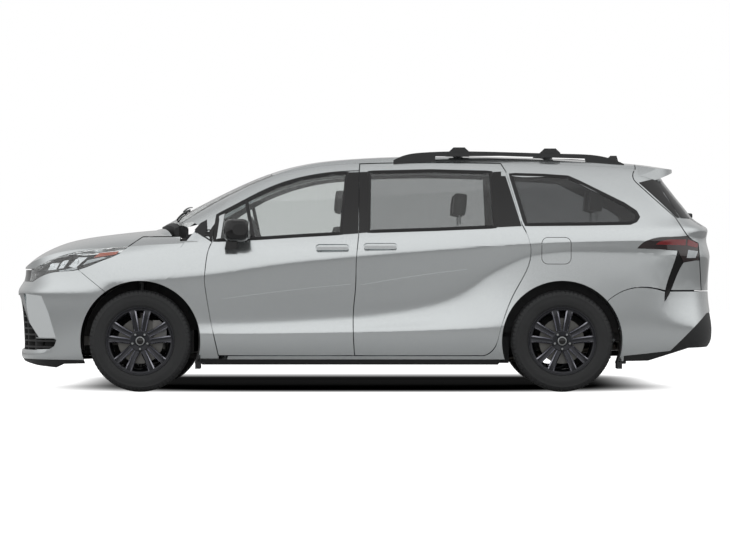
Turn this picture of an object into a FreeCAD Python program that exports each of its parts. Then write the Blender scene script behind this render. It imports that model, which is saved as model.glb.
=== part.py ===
import FreeCAD, Part
import math
import os

# A full-size three-row minivan on eighteen-inch wheels, nose towards -X, left side towards -Y.
# The origin lies on the floor, midway between the ends and sides of the vehicle. Lengths are in millimetres.

V = FreeCAD.Vector

# Driving dimensions of the vehicle
LENGTH = 5174.0
HALF_WIDTH = 985.0
WHEELBASE = 3060.0
FRONT_AXLE_X = -1627.0
REAR_AXLE_X = FRONT_AXLE_X + WHEELBASE
TRACK = 1720.0
TYRE_RADIUS = 370.0
TYRE_WIDTH = 235.0
ARCH_RADIUS = 437.0
NOSE_X = -LENGTH / 2
TAIL_X = LENGTH / 2

# Wall thicknesses
DOOR_WALL = 110.0
FRAME_WALL = 48.0
SKIN_WALL = 24.0
ROOF_WALL = 42.0
GLASS_WALL = 5.0
PANEL_GAP = 7.0
SEAM = 0.8
BUMPER_WALL = 60.0
HOOD_WALL = 30.0
GATE_WALL = 95.0
SCREEN_WALL = 6.0
GLASS_SET = 3.0
JAMB_GAP = 12.0
GRILLE_SET = 14.0
JAMB_DEPTH = 165.0
PILLAR_DEPTH = 100.0
LAMP_DEPTH = 90.0
LAMP_GAP = 3.0
LAMP_INNER_Y = 500.0
GRILLE_LOW_Z = 300.0
GRILLE_HIGH_Z = 700.0
GRILLE_BARS = 9
GRILLE_BAR = 13.0
GRILLE_STAY = 16.0
SLOT_HIGH_Z = 385.0
BUMPER_LOW_Z = 232.0
TRIM_SET = 3.0
SILL_LOW_Z = 236.0
WALL_EASE = 40.0

# The front door's hinge line
HINGE_X = -1100.0
HINGE_Y = 957.0
HINGE_REACH = 122.0
POST_FRONT_X = -1330.0
POST_TOP_Z = 1050.0
POST_STEP_X = HINGE_X - 78.0
FENDER_DEEP_X = -1340.0


def through(nodes, at):
    """The value at one place of a smooth curve through (place, value) nodes, with no overshoot."""
    if at <= nodes[0][0]:
        return nodes[0][1]
    if at >= nodes[-1][0]:
        return nodes[-1][1]
    i = 0
    while at > nodes[i + 1][0]:
        i += 1
    (x0, y0), (x1, y1) = nodes[i], nodes[i + 1]
    span = x1 - x0
    slope = (y1 - y0) / span
    before = slope
    if i > 0:
        before = (y0 - nodes[i - 1][1]) / (x0 - nodes[i - 1][0])
    after = slope
    if i + 2 < len(nodes):
        after = (nodes[i + 2][1] - y1) / (nodes[i + 2][0] - x1)
    start = 0.0 if before * slope <= 0 else 2 * before * slope / (before + slope)
    end = 0.0 if after * slope <= 0 else 2 * after * slope / (after + slope)
    t = (at - x0) / span
    return (
        y0
        + span * t * start
        + t * t * (3 * (y1 - y0) - span * (2 * start + end))
        + t ** 3 * (span * (start + end) - 2 * (y1 - y0))
    )


# Height lines that run along the body side, as (x, z)
CREASE_LINE = [(-2587, 400), (-1700, 405), (-1071, 417), (-62, 440), (691, 465), (1400, 480), (2587, 480)]
VALLEY_LINE = [(-2587, 560), (-1700, 520), (-1071, 500), (-62, 540), (400, 600), (691, 690),
               (881, 827), (1083, 935), (1217, 985), (1500, 1010), (2587, 960)]
SHOULDER_LINE = [(-2587, 770), (-1900, 800), (-1169, 848), (-561, 935), (-43, 981), (691, 1032), (1488, 1085),
                 (2587, 1110)]
BELT_LINE = [(-2587, 868), (-2300, 905), (-1716, 1005), (-1120, 1085), (-465, 1108), (-57, 1132), (524, 1168),
             (1140, 1197), (2587, 1205)]
RAIL_LINE = [(-2587, 1010), (-1700, 1110), (-1236, 1215), (-1078, 1300), (-870, 1415), (-641, 1523), (-463, 1576),
             (-242, 1610), (-43, 1622), (353, 1640), (708, 1632), (1036, 1618), (1502, 1600), (2587, 1560)]

# How far the side stands in from the widest plan line, at those lines, as (x, inset)
CREASE_INSET = [(-2000, 20), (-1100, 16), (0, 12), (900, 8), (2000, 14)]
VALLEY_INSET = [(-1900, 8), (-1100, 22), (-62, 36), (500, 46), (881, 40), (1217, 14), (1500, 8)]
BELT_INSET = [(-2300, 24), (-1700, 34), (-1100, 42), (0, 34), (1200, 24), (2200, 24)]
PLAN_WIDTH = [(-2400, 938), (-2100, 962), (-1627, 978), (-900, 968), (0, 968), (800, 974), (1433, 985), (1900, 976),
              (2300, 955)]

# Section of the greenhouse above the belt line
GLASS_LEAN = 0.36
BARREL_CURVE = [(-1500, 230.0), (-1150, 2200.0)]
RAIL_ROLL = 190.0
CORE_WIDTH = 480.0
SILL_Z = 235.0
SILL_TUCK = 62.0


def half_width(x, z):
    """Half the width of the body at a station and height, with its creases and hollows."""
    plan = through(PLAN_WIDTH, x)
    crease_z = through(CREASE_LINE, x)
    valley_z = through(VALLEY_LINE, x)
    shoulder_z = through(SHOULDER_LINE, x)
    belt_z = through(BELT_LINE, x)
    crease = through(CREASE_INSET, x)
    valley = through(VALLEY_INSET, x)
    belt = through(BELT_INSET, x)
    if z < crease_z:
        t = (crease_z - z) / (crease_z - SILL_Z)
        return plan - crease - SILL_TUCK * (0.35 * t + 0.65 * t * t)
    if z < valley_z:
        t = (z - crease_z) / (valley_z - crease_z)
        return plan - crease - (valley - crease) * (2 * t - t * t)
    if z < shoulder_z:
        t = (z - valley_z) / (shoulder_z - valley_z)
        return plan - valley * (1 - t ** 1.8)
    if z < belt_z:
        t = (z - shoulder_z) / (belt_z - shoulder_z)
        return plan - belt * (0.4 * t + 0.6 * t * t)
    rise = z - belt_z
    bend = through(BARREL_CURVE, x)
    inset = belt + GLASS_LEAN * rise + rise * rise / bend
    over = z - through(RAIL_LINE, x)
    if over > 0:
        inset += over * over / RAIL_ROLL
    width = plan - inset
    if width < CORE_WIDTH:
        width = CORE_WIDTH * (0.6 + 0.4 * math.exp((width / CORE_WIDTH - 1) / 0.4))
    return width


# Outline of the nose and tail on the centre line, as (z, x)
NOSE_LINE = [(180, -2500), (242, -2572), (300, -2552), (420, -2556), (600, -2568), (735, -2587), (800, -2545),
             (870, -2532), (1000, -2532)]
TAIL_LINE = [(180, 2380), (260, 2480), (338, 2575), (477, 2583), (610, 2558), (774, 2545), (893, 2557), (985, 2564),
             (1110, 2538), (1190, 2552), (1240, 2462), (1330, 2388), (1434, 2303), (1560, 2205), (1850, 1985)]
NOSE_SWEEP = (233.0, 313.0)
TAIL_SWEEP = (60.0, 150.0)
NOSE_CORNER = 260.0
TAIL_CORNER = 260.0


def nose_x(y, z):
    """Where the front face lies: on the centre line, then swept back towards the corners."""
    m = y / 1000.0
    return through(NOSE_LINE, z) + NOSE_SWEEP[0] * m * m + NOSE_SWEEP[1] * m ** 4


def tail_x(y, z):
    """Where the rear face lies: on the centre line, then swept forward towards the corners."""
    m = y / 1000.0
    return through(TAIL_LINE, z) - TAIL_SWEEP[0] * m * m - TAIL_SWEEP[1] * m ** 4


# Outline of the windscreen and roof, and of the bonnet, on the centre line, as (x, z)
ROOF_LINE = [(-2900, 486), (-1487, 1216), (-1307, 1321), (-1038, 1459), (-858, 1544), (-678, 1613), (-498, 1662),
             (-318, 1692), (-49, 1714), (221, 1726), (600, 1729), (1100, 1722), (1500, 1706), (1974, 1672),
             (2244, 1634), (2900, 1520)]
BONNET_LINE = [(-2900, 560), (-2560, 872), (-2521, 916), (-2476, 960), (-2386, 1017), (-2206, 1093), (-2027, 1130),
               (-1847, 1153), (-1667, 1173), (-1532, 1184), (-1200, 1200)]
SCREEN_BOW = 50.0
ROOF_CROWN = (16.0, 22.0)
BONNET_BOW = 60.0
BONNET_CROWN = (26.0, 30.0)


def roof_z(x, y):
    """Height of the windscreen and roof."""
    share = abs(y) / 700.0
    return through(ROOF_LINE, x - SCREEN_BOW * share * share) - ROOF_CROWN[0] * share ** 2 - ROOF_CROWN[1] * share ** 8


def bonnet_z(x, y):
    """Height of the bonnet."""
    share = abs(y) / 800.0
    along = x - BONNET_BOW * share * share
    return through(BONNET_LINE, along) - BONNET_CROWN[0] * share ** 2 - BONNET_CROWN[1] * share ** 6


def blend_max(a, b, reach):
    """The larger of two values, rounded off where they are within reach of each other."""
    h = max(reach - abs(a - b), 0.0) / reach
    return max(a, b) + h * h * reach / 4


# Rays that sample the body side: a fan round the nose, a row of parallel ones and a fan round the tail
SPINE = 1850.0
FAN_RAYS = 12
SIDE_RAYS = 50
ROWS = ((CREASE_LINE, 5), (VALLEY_LINE, 4), (SHOULDER_LINE, 6), (BELT_LINE, 4), (RAIL_LINE, 8))
BASE_Z = 160.0
TOP_Z = 1820.0
TOP_ROWS = 4


def rays():
    """Each ray as (start x, direction x, direction y, nominal x)."""
    found = []
    for i in range(FAN_RAYS):
        a = math.pi - (math.pi / 2) * i / FAN_RAYS
        found.append((-SPINE, math.cos(a), math.sin(a), -SPINE + 720 * math.cos(a)))
    for i in range(SIDE_RAYS + 1):
        x = -SPINE + 2 * SPINE * i / SIDE_RAYS
        found.append((x, 0.0, 1.0, x))
    for i in range(1, FAN_RAYS + 1):
        a = (math.pi / 2) * (1 - i / FAN_RAYS)
        found.append((SPINE, math.cos(a), math.sin(a), SPINE + 720 * math.cos(a)))
    return found


def row_heights(x):
    """Heights of the sampled rows at one station; they follow the lines along the body side."""
    heights = [BASE_Z]
    low = BASE_Z
    for line, count in ROWS:
        high = through(line, x)
        for i in range(1, count + 1):
            heights.append(low + (high - low) * i / count)
        low = high
    for i in range(1, TOP_ROWS + 1):
        heights.append(low + (TOP_Z - low) * i / TOP_ROWS)
    return heights


def side_point(ray, z, side_in, end_in):
    """Where a ray leaves the body, drawn in by the side and end wall thicknesses."""
    x0, dx, dy, nominal = ray
    low, high = 200.0, 1500.0
    if abs(dx) < 1e-9:
        return V(x0, half_width(x0, z) - side_in, z)
    for _ in range(20):
        t = (low + high) / 2
        x, y = x0 + t * dx, t * dy
        side = y - half_width(x, z) + side_in
        end = nose_x(y, z) + end_in - x if dx < 0 else x - tail_x(y, z) + end_in
        reach = NOSE_CORNER if dx < 0 else TAIL_CORNER
        if blend_max(side, end, reach) > 0:
            high = t
        else:
            low = t
    return V(x0 + low * dx, low * dy, z)


def even_knots(count):
    """Knots and multiplicities of a clamped cubic spline with that many poles."""
    inner = count - 4
    knots = [float(i) for i in range(inner + 2)]
    mults = [4] + [1] * inner + [4]
    return knots, mults


def smooth_face(grid):
    """A smooth cubic face shaped by a grid of poles."""
    u_knots, u_mults = even_knots(len(grid))
    v_knots, v_mults = even_knots(len(grid[0]))
    surface = Part.BSplineSurface()
    surface.buildFromPolesMultsKnots(grid, u_mults, v_mults, u_knots, v_knots, False, False, 3, 3)
    return surface.toShape()


def side_solid(side_in, end_in):
    """Left half of the body below an open top, as one solid bounded by a single curved face."""
    grid = []
    for ray in rays():
        column = []
        for z in row_heights(ray[3]):
            thick = side_in(ray[3], z) if callable(side_in) else side_in
            p = side_point(ray, z, thick, end_in)
            column.append(V(p.x, -p.y, p.z))
        grid.append(column)
    skin = smooth_face(grid)
    corner = [grid[0][0], grid[-1][0], grid[-1][-1], grid[0][-1]]
    base, rear, top, front = None, None, None, None
    for edge in skin.Edges:
        box = edge.BoundBox
        if box.ZMax - box.ZMin < 1.0:
            if box.ZMin < (BASE_Z + TOP_Z) / 2:
                base = edge
            else:
                top = edge
        elif box.XMin > 0:
            rear = edge
        else:
            front = edge
    low_line = Part.makeLine(corner[0], corner[1])
    high_line = Part.makeLine(corner[3], corner[2])
    faces = [
        skin,
        Part.Face(Part.Wire(Part.__sortEdges__([base, low_line]))),
        Part.Face(Part.Wire(Part.__sortEdges__([top, high_line]))),
        Part.Face(Part.Wire(Part.__sortEdges__([front, high_line, rear, low_line]))),
    ]
    shell = Part.makeShell(faces)
    shell.sewShape()
    solid = Part.Solid(shell)
    if solid.Volume < 0:
        solid.reverse()
    return solid


def sheet_grid(height, drop):
    """Poles of a roof or bonnet face over the whole plan."""
    grid = []
    steps = 48
    across = 14
    for i in range(steps + 1):
        x = -2800 + 5600 * i / steps
        column = []
        for j in range(across + 1):
            y = -1200 + 1300 * j / across
            column.append(V(x, y, height(x, y) - drop))
        grid.append(column)
    return grid



NEAR_Y = -1300.0
EDGE_POINTS = 12


def edge_through(points):
    """A straight edge through two points, or a smooth one through more."""
    if len(points) == 2:
        return Part.makeLine(points[0], points[1])
    curve = Part.BSplineCurve()
    curve.interpolate(points)
    return curve.toShape()


def side_face(runs):
    """A face in the side view; each run of (x, z) points is a straight or smooth stretch of its outline."""
    edges = []
    last = runs[-1][-1]
    for run in runs:
        points = [last] + list(run) if run[0] != last else list(run)
        edges.append(edge_through([V(x, NEAR_Y, z) for x, z in points]))
        last = run[-1]
    return Part.Face(Part.Wire(edges))


def side_prism(runs, grow=0.0, far=10.0):
    """A side view outline carried through the left half of the body."""
    face = side_face(runs)
    if grow:
        face = grown(face, grow)
    return face.extrude(V(0, far - NEAR_Y, 0))


def grown(face, grow):
    """An outline moved outwards, its edges drawn again as plain curves that meet exactly."""
    corners = {}
    edges = []
    for edge in face.makeOffset2D(grow).OuterWire.Edges:
        points = edge.discretize(2 if edge.Curve.TypeId == "Part::GeomLine" else EDGE_POINTS)
        for i in (0, -1):
            key = (round(points[i].x, 1), round(points[i].z, 1))
            points[i] = corners.setdefault(key, points[i])
        edges.append(edge_through(points))
    return Part.Face(Part.Wire(Part.__sortEdges__(edges)))


def box(x0, x1, y0, y1, z0, z1):
    return Part.makeBox(x1 - x0, y1 - y0, z1 - z0, V(x0, y0, z0))


def rounded_box(radius, x0, x1, y0, y1, z0, z1):
    block = box(x0, x1, y0, y1, z0, z1)
    long_edges = [edge for edge in block.Edges if abs(edge.tangentAt(edge.FirstParameter).y) > 0.9]
    return block.makeFillet(radius, long_edges)


def cylinder_y(x, z, radius, y0, y1):
    return Part.makeCylinder(radius, y1 - y0, V(x, y0, z), V(0, 1, 0))


def mirrored(shape):
    return shape.mirror(V(0, 0, 0), V(0, 1, 0))


def whole(half):
    """Both halves of a piece that crosses the centre line."""
    return half.fuse(mirrored(half)).removeSplitter()


def biggest(shape):
    """The largest solid of a cut, without slivers."""
    return max(shape.Solids, key=lambda s: s.Volume)


# Lines seen from the side, as (x, z)
FRONT_DOOR_FRONT = [(-1058, 267), (-1112, 520), (-1146, 720), (-1156, 810), (-1150, 900), (-1134, 1010), (-1104, 1084)]
DOOR_FRAME_FRONT = [(-1104, 1084), (-1072, 1280)]
FRONT_DOOR_TOP = [(-1072, 1280), (-862, 1400), (-634, 1508), (-458, 1561), (-239, 1597), (120, 1607)]
DOOR_BOTTOM_Z = 267.0
MIDDLE_SEAM = [(267, -72), (476, -82), (605, -79), (786, -63), (929, -61), (1135, -43), (1400, -40), (1607, -38),
               (1700, -34)]
DITCH_LINE = [(-664, 1577), (-458, 1625), (-239, 1655), (-36, 1667), (480, 1674), (990, 1668), (1500, 1652), (1985, 1624)]
SLIDE_REAR = [(990, 1668), (1029, 1602), (1139, 1212), (1182, 1122), (1199, 1055), (1196, 961), (1163, 868),
              (1082, 720), (1015, 560), (975, 426), (946, 332), (905, 285), (835, 267)]
SCREEN_SIDE = [(-1345, 1218), (-992, 1430), (-664, 1577)]



SHELL = {}


def make_shells():
    """The body's outer form and the inner faces that its walls are cut back to, all for the left half."""
    roof_up = smooth_face(sheet_grid(roof_z, 0)).extrude(V(0, 0, 1500))
    hood_up = smooth_face(sheet_grid(bonnet_z, 0)).extrude(V(0, 0, 1500))
    SHELL["roof_low"] = smooth_face(sheet_grid(roof_z, ROOF_WALL)).extrude(V(0, 0, 1500))
    SHELL["screen_low"] = smooth_face(sheet_grid(roof_z, SCREEN_WALL)).extrude(V(0, 0, 1500))
    SHELL["hood_low"] = smooth_face(sheet_grid(bonnet_z, HOOD_WALL)).extrude(V(0, 0, 1500))
    sides = side_solid(0.0, 0.0)
    SHELL["outer"] = sides.cut(roof_up).fuse(sides.cut(hood_up))
    SHELL["glass_out"] = side_solid(GLASS_SET, GLASS_SET)
    SHELL["glass_in"] = side_solid(GLASS_SET + GLASS_WALL, GLASS_SET + GLASS_WALL)
    SHELL["screen_in"] = side_solid(SCREEN_WALL, SCREEN_WALL).cut(SHELL["screen_low"])
    ahead = box(-3000, FENDER_DEEP_X, NEAR_Y, 20, 0, 3000)
    SHELL["fender_in"] = side_solid(SKIN_WALL, BUMPER_WALL).cut(SHELL["hood_low"].common(ahead))
    cowl_low = smooth_face(sheet_grid(bonnet_z, COWL_WALL)).extrude(V(0, 0, 1500))
    SHELL["cowl_in"] = side_solid(SKIN_WALL, BUMPER_WALL).cut(cowl_low)
    SHELL["grille_out"] = side_solid(GRILLE_SET, GRILLE_SET)
    SHELL["pocket_in"] = side_solid(POCKET_DEPTH, POCKET_DEPTH)
    SHELL["proud"] = side_solid(-STRIP_OUT, 0.0)
    SHELL["post_out"] = side_solid(SKIN_WALL + JAMB_GAP, SKIN_WALL + JAMB_GAP)
    SHELL["door_in"] = side_solid(lambda x, z: wall_at(x, z, DOOR_WALL, FRAME_WALL), GATE_WALL)
    SHELL["jamb_out"] = side_solid(lambda x, z: wall_at(x, z, DOOR_WALL + JAMB_GAP, FRAME_WALL + JAMB_GAP), GATE_WALL)
    SHELL["jamb_in"] = side_solid(lambda x, z: wall_at(x, z, JAMB_DEPTH, PILLAR_DEPTH), GATE_WALL)
    SHELL["lamp_in"] = side_solid(LAMP_DEPTH, LAMP_DEPTH)
    SHELL["gate_in"] = side_solid(GATE_WALL, GATE_WALL).cut(SHELL["roof_low"])


def wall_at(x, z, low, high):
    """A wall thickness that eases from its value in the door to that in the window frames."""
    t = (z - through(BELT_LINE, x) + WALL_EASE) / (2 * WALL_EASE)
    t = min(max(t, 0.0), 1.0)
    return low + (high - low) * t * t * (3 - 2 * t)


def in_region(runs, inner, grow=0.0):
    """The part of the body's wall inside a side view outline, down to an inner face."""
    return SHELL["outer"].common(side_prism(runs, grow)).cut(SHELL[inner])


def hinge_sweep(gap):
    """The space round the front door's hinge line that reaches as far back as the middle seam."""
    points = []
    for z, x in MIDDLE_SEAM:
        out = half_width(x, z) - HINGE_Y
        points.append(V(math.hypot(x - HINGE_X, out) + gap, 0, z))
    edges = [edge_through(points)]
    first, last = points[0], points[-1]
    edges.append(Part.makeLine(last, V(0, 0, last.z)))
    edges.append(Part.makeLine(V(0, 0, last.z), V(0, 0, first.z)))
    edges.append(Part.makeLine(V(0, 0, first.z), first))
    face = Part.Face(Part.Wire(edges))
    sweep = face.revolve(V(0, 0, 0), V(0, 0, 1), 360)
    sweep.translate(V(HINGE_X, -HINGE_Y, 0))
    return sweep


def front_door_runs():
    return [FRONT_DOOR_FRONT, DOOR_FRAME_FRONT, FRONT_DOOR_TOP, [FRONT_DOOR_TOP[-1], (120, DOOR_BOTTOM_Z)],
            [(120, DOOR_BOTTOM_Z), FRONT_DOOR_FRONT[0]]]


def slide_door_runs(front_x=-330.0):
    return [[(front_x, 1720), (960, 1720)], [(960, 1720), SLIDE_REAR[0]], SLIDE_REAR[:2], SLIDE_REAR[1:3], SLIDE_REAR[2:],
            [SLIDE_REAR[-1], (front_x, DOOR_BOTTOM_Z)], [(front_x, DOOR_BOTTOM_Z), (front_x, 1720)]]


FRONT_GLASS = [[(-1046, 1105), (-774, 1116), (-458, 1136), (-162, 1152)], [(-162, 1152), (-122, 1588)],
               [(-122, 1588), (-239, 1580), (-458, 1545), (-634, 1492), (-862, 1384), (-1018, 1297)],
               [(-1018, 1297), (-1046, 1105)]]
SLIDE_GLASS = [[(25, 1168), (524, 1184), (1010, 1203)], [(1010, 1203), (915, 1590)],
               [(915, 1590), (480, 1604), (32, 1592)], [(32, 1592), (25, 1168)]]
QUARTER_GLASS = [[(1175, 1218), (1600, 1222), (1925, 1228)],
                 [(1925, 1228), (1962, 1243), (1978, 1270), (1960, 1302), (1878, 1357), (1745, 1424), (1560, 1518)],
                 [(1560, 1518), (1482, 1553), (1300, 1566), (1072, 1574)], [(1072, 1574), (1175, 1218)]]


def side_glass(runs):
    sheet = SHELL["glass_out"].common(side_prism(runs)).cut(SHELL["glass_in"])
    return sheet


# Door handles, seen from the side: centres of the pockets as (x, z), and their sizes
FRONT_HANDLE = (-232.5, 1042.0)
SLIDE_HANDLE = (115.0, 1050.0)
POCKET_LONG = 250.0
POCKET_HIGH = 62.0
POCKET_DEPTH = 16.0
HANDLE_LONG = 236.0
HANDLE_HIGH = 24.0
HANDLE_THICK = 15.0
HANDLE_OUT = 27.0
FOOT_LONG = 34.0
HANDLE_STEP = 4.0
# The rubbing strips' centre lines on the doors, and their section
FRONT_STRIP = [(-1040, 673), (-560, 722), (-100, 768)]
SLIDE_STRIP = [(-22, 777), (360, 826), (741, 874)]
STRIP_HALF = 14.0
STRIP_OUT = 7.0


def stadium(centre, long, high, y0, y1):
    """A bar with half-round ends, seen from the side."""
    x, z = centre
    r = high / 2
    reach = long / 2 - r
    ends = [cylinder_y(x + end * reach, z, r, y0, y1) for end in (-1, 1)]
    return box(x - reach, x + reach, y0, y1, z - r, z + r).fuse(ends)


def handle(centre):
    """A pull handle: a bar that stands off the door on two feet."""
    x, z = centre
    skin = -half_width(x, z)
    bar = stadium(centre, HANDLE_LONG, HANDLE_HIGH, skin - HANDLE_OUT, skin - HANDLE_OUT + HANDLE_THICK)
    reach = (HANDLE_LONG - FOOT_LONG) / 2 - HANDLE_STEP
    feet = [stadium((x + end * reach, z), FOOT_LONG, HANDLE_HIGH - HANDLE_STEP, skin - HANDLE_OUT + 2, skin + POCKET_DEPTH + 4)
            for end in (-1, 1)]
    return bar.fuse(feet)


def strip(line):
    """A rubbing strip that stands proud of the door, narrowing to its front end."""
    (x0, z0), (x1, z1) = line[0], line[-1]
    top = [(x0, z0)] + [(x, z + STRIP_HALF) for x, z in line[1:]]
    low = [(x1, z1 - STRIP_HALF), (line[1][0], line[1][1] - STRIP_HALF), (x0, z0)]
    runs = [top, [top[-1], low[0]], low]
    return SHELL["proud"].common(side_prism(runs)).cut(SHELL["glass_in"])


def with_fittings(door, centre, line):
    """A door skin with its handle pocket, handle and rubbing strip."""
    pocket = stadium(centre, POCKET_LONG, POCKET_HIGH, NEAR_Y, 0).cut(SHELL["pocket_in"])
    return door.cut(pocket).fuse([handle(centre), strip(line)])


def make_doors():
    front = in_region(front_door_runs(), "door_in").common(hinge_sweep(-PANEL_GAP / 2)).cut(side_prism(FRONT_GLASS))
    slide_zone = side_prism(slide_door_runs()).cut(hinge_sweep(PANEL_GAP / 2))
    slide = SHELL["outer"].common(slide_zone).cut(SHELL["door_in"]).cut(side_prism(SLIDE_GLASS))
    slide = slide.cut(side_prism(ditch_runs(), PANEL_GAP))
    front = with_fittings(biggest(front), FRONT_HANDLE, FRONT_STRIP)
    slide = with_fittings(biggest(slide), SLIDE_HANDLE, SLIDE_STRIP)
    print("doors", front.isValid(), len(front.Solids), slide.isValid(), len(slide.Solids))
    return biggest(front), biggest(slide)



# Outlines of the nose and tail panels, seen from the side
LAMP_TIP = (-1715, 1058)
HOOD_FRONT_Z = 893.0
LAMP_TOP = [(-2452, HOOD_FRONT_Z), (-2408, 907), (-2316, 947), (-2200, 991), (-2062, 1022), (-1880, 1047), LAMP_TIP]
LAMP_LOW = [LAMP_TIP, (-1762, 1017), (-1923, 947), (-2080, 889), (-2293, 866), (-2374, 838), (-2434, 803)]
HOOD_SIDE = [LAMP_TIP, (-1618, 1131)]
COWL_FRONT_X = -1548.0
COWL_STEP_X = -1512.0
COWL_REAR_X = -1482.0
COWL_WALL = 44.0
COWL_HALF = 740.0
SCREEN_BASE_BOW = 137.0
BUMPER_TOP_Z = 800.0
FENDER_FRONT = [(-2080, 889), (-1866, 718)]
TAIL_SEAM = [(1985, 1640), (1985, 1622), (1962, 1572), (1995, 1515), (2132, 1388), (2264, 1272), (2315, 1185), (2352, 1136),
             (2436, 1085)]
GATE_LOW_Z = 735.0
GATE_LOW_X = 2462.0
REAR_BUMPER_TOP = [(1766, 668), (1857, 728), (2172, 740)]


def bow_strip(x0, x1, bow, rear_bow=None, y_end=-1100.0):
    """A plan view strip of the body between two lines bowed back towards the sides."""
    def line(x, bow):
        count = 5
        return [V(x + bow * (i / (count - 1)) ** 2 * (y_end / 760.0) ** 2, y_end * i / (count - 1), 0)
                for i in range(count)]
    front, rear = line(x0, bow), line(x1, bow if rear_bow is None else rear_bow)
    edges = [edge_through(front), Part.makeLine(front[-1], rear[-1]), edge_through(rear),
             Part.makeLine(rear[0], front[0])]
    return Part.Face(Part.Wire(Part.__sortEdges__(edges))).extrude(V(0, 0, 2200))


def hood_runs():
    return [LAMP_TOP, HOOD_SIDE, [HOOD_SIDE[-1], (-1340, 1133)], [(-1340, 1133), (-1340, 1400)],
            [(-1340, 1400), (-2700, 1400)], [(-2700, 1400), (-2700, HOOD_FRONT_Z)],
            [(-2700, HOOD_FRONT_Z), LAMP_TOP[0]]]


def lamp_runs():
    return [LAMP_TOP, LAMP_LOW, [LAMP_LOW[-1], (-2700, 803)], [(-2700, 803), (-2700, HOOD_FRONT_Z)],
            [(-2700, HOOD_FRONT_Z), LAMP_TOP[0]]]


def fender_runs():
    """The front fender reaches from the lamp and bumper back to the door and the foot of the windscreen."""
    return [HOOD_SIDE, [HOOD_SIDE[-1], (-1545, 1133)], [(-1545, 1133), (-1345, 1218), (-1263, 1240)],
            [(-1263, 1240), (-1206, 1211)], [(-1206, 1211), (-1231, 1172)], [(-1231, 1172), (-1104, 1088)],
            list(reversed(FRONT_DOOR_FRONT)), [FRONT_DOOR_FRONT[0], (-1060, SILL_LOW_Z)],
            [(-1060, SILL_LOW_Z), (-1700, SILL_LOW_Z)], [(-1700, SILL_LOW_Z), (-1866, 500)],
            [(-1866, 500), (-1866, 718)], [(-1866, 718), (-2080, 889)], [LAMP_LOW[3], LAMP_LOW[2], LAMP_LOW[1], LAMP_TIP]]


def front_bumper_runs():
    return [[(-2700, BUMPER_TOP_Z), LAMP_LOW[-1]], list(reversed(LAMP_LOW[3:])), FENDER_FRONT, [(-1866, 718), (-1866, 500)],
            [(-1866, 500), (-1990, BUMPER_LOW_Z)], [(-1990, BUMPER_LOW_Z), (-2700, BUMPER_LOW_Z)],
            [(-2700, BUMPER_LOW_Z), (-2700, BUMPER_TOP_Z)]]


# Front view of the bumper's mouth, as (y, z), and side view of the slot that runs from its foot round the corner
MOUTH = [(10, GRILLE_HIGH_Z), (-330, GRILLE_HIGH_Z), (-410, 640), (-640, SLOT_HIGH_Z), (-640, GRILLE_LOW_Z),
         (10, GRILLE_LOW_Z)]
SLOT = [(-2700, SLOT_HIGH_Z), (-2262, SLOT_HIGH_Z), (-2245, 374), (-2262, 330), (-2300, 308), (-2480, GRILLE_LOW_Z),
        (-2700, GRILLE_LOW_Z)]
# The flat face moulded into each front corner, and how deep it goes in at its top
FACET = [(-2512, 713), (-2361, 697), (-2309, 581), (-2250, 392), (-2440, 392)]
FACET_DEPTH = 52.0
FACET_WALL = 24.0


def outline_prism(points):
    """A straight-sided side view outline carried through the left half of the body."""
    return side_prism([[a, b] for a, b in zip(points, points[1:] + points[:1])])


def front_prism(points, x0, x1):
    """A front view outline carried along the vehicle."""
    corners = [V(x0, y, z) for y, z in points]
    return Part.Face(Part.makePolygon(corners + corners[:1])).extrude(V(x1 - x0, 0, 0))


def skin_point(x, z):
    """Where a line across the vehicle meets the body's outer form."""
    line = Part.makeLine(V(x, NEAR_Y, z), V(x, 0, z))
    hit = SHELL["outer"].common(line)
    return V(x, hit.BoundBox.YMin, z)


def ahead_of(a, b, c, reach):
    """The space in front of the plane through three points, on the vehicle's left and forward side."""
    out = (b - a).cross(c - a).normalize()
    if out.x + out.y > 0:
        out = out * -1
    along = (b - a).normalize()
    up = out.cross(along)
    middle = (a + b + c) * (1 / 3.0)
    corners = [middle + along * (i * reach) + up * (j * reach) for i, j in ((-1, -1), (1, -1), (1, 1), (-1, 1))]
    return Part.Face(Part.makePolygon(corners + corners[:1])).extrude(out * reach), out


def corner_facet():
    """What the flat face takes off the corner, and the matching space behind it that keeps its wall."""
    low_rear = skin_point(FACET[3][0], FACET[3][1])
    low_front = skin_point(FACET[4][0], FACET[4][1])
    top = skin_point((FACET[0][0] + FACET[1][0]) / 2, (FACET[0][1] + FACET[1][1]) / 2)
    inward = V(0.72, 0.66, 0)
    space, out = ahead_of(low_rear + inward * 3, low_front + inward * 3, top + inward * FACET_DEPTH, 700.0)
    cut = outline_prism(FACET).common(space)
    space.translate(out * -FACET_WALL)
    keep = grown(side_face([[a, b] for a, b in zip(FACET, FACET[1:] + FACET[:1])]), FACET_WALL)
    return cut, keep.extrude(V(0, 10 - NEAR_Y, 0)).common(space)


def front_trim_runs():
    """The black undertray edge below the painted bumper."""
    return [[(-2700, BUMPER_LOW_Z), (-1990, BUMPER_LOW_Z)], [(-1990, BUMPER_LOW_Z), (-1982, 206)],
            [(-1982, 206), (-2190, 200)], [(-2190, 200), (-2250, 172)], [(-2250, 172), (-2400, 186)],
            [(-2400, 186), (-2520, 212)], [(-2520, 212), (-2700, 214)], [(-2700, 214), (-2700, BUMPER_LOW_Z)]]


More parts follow.
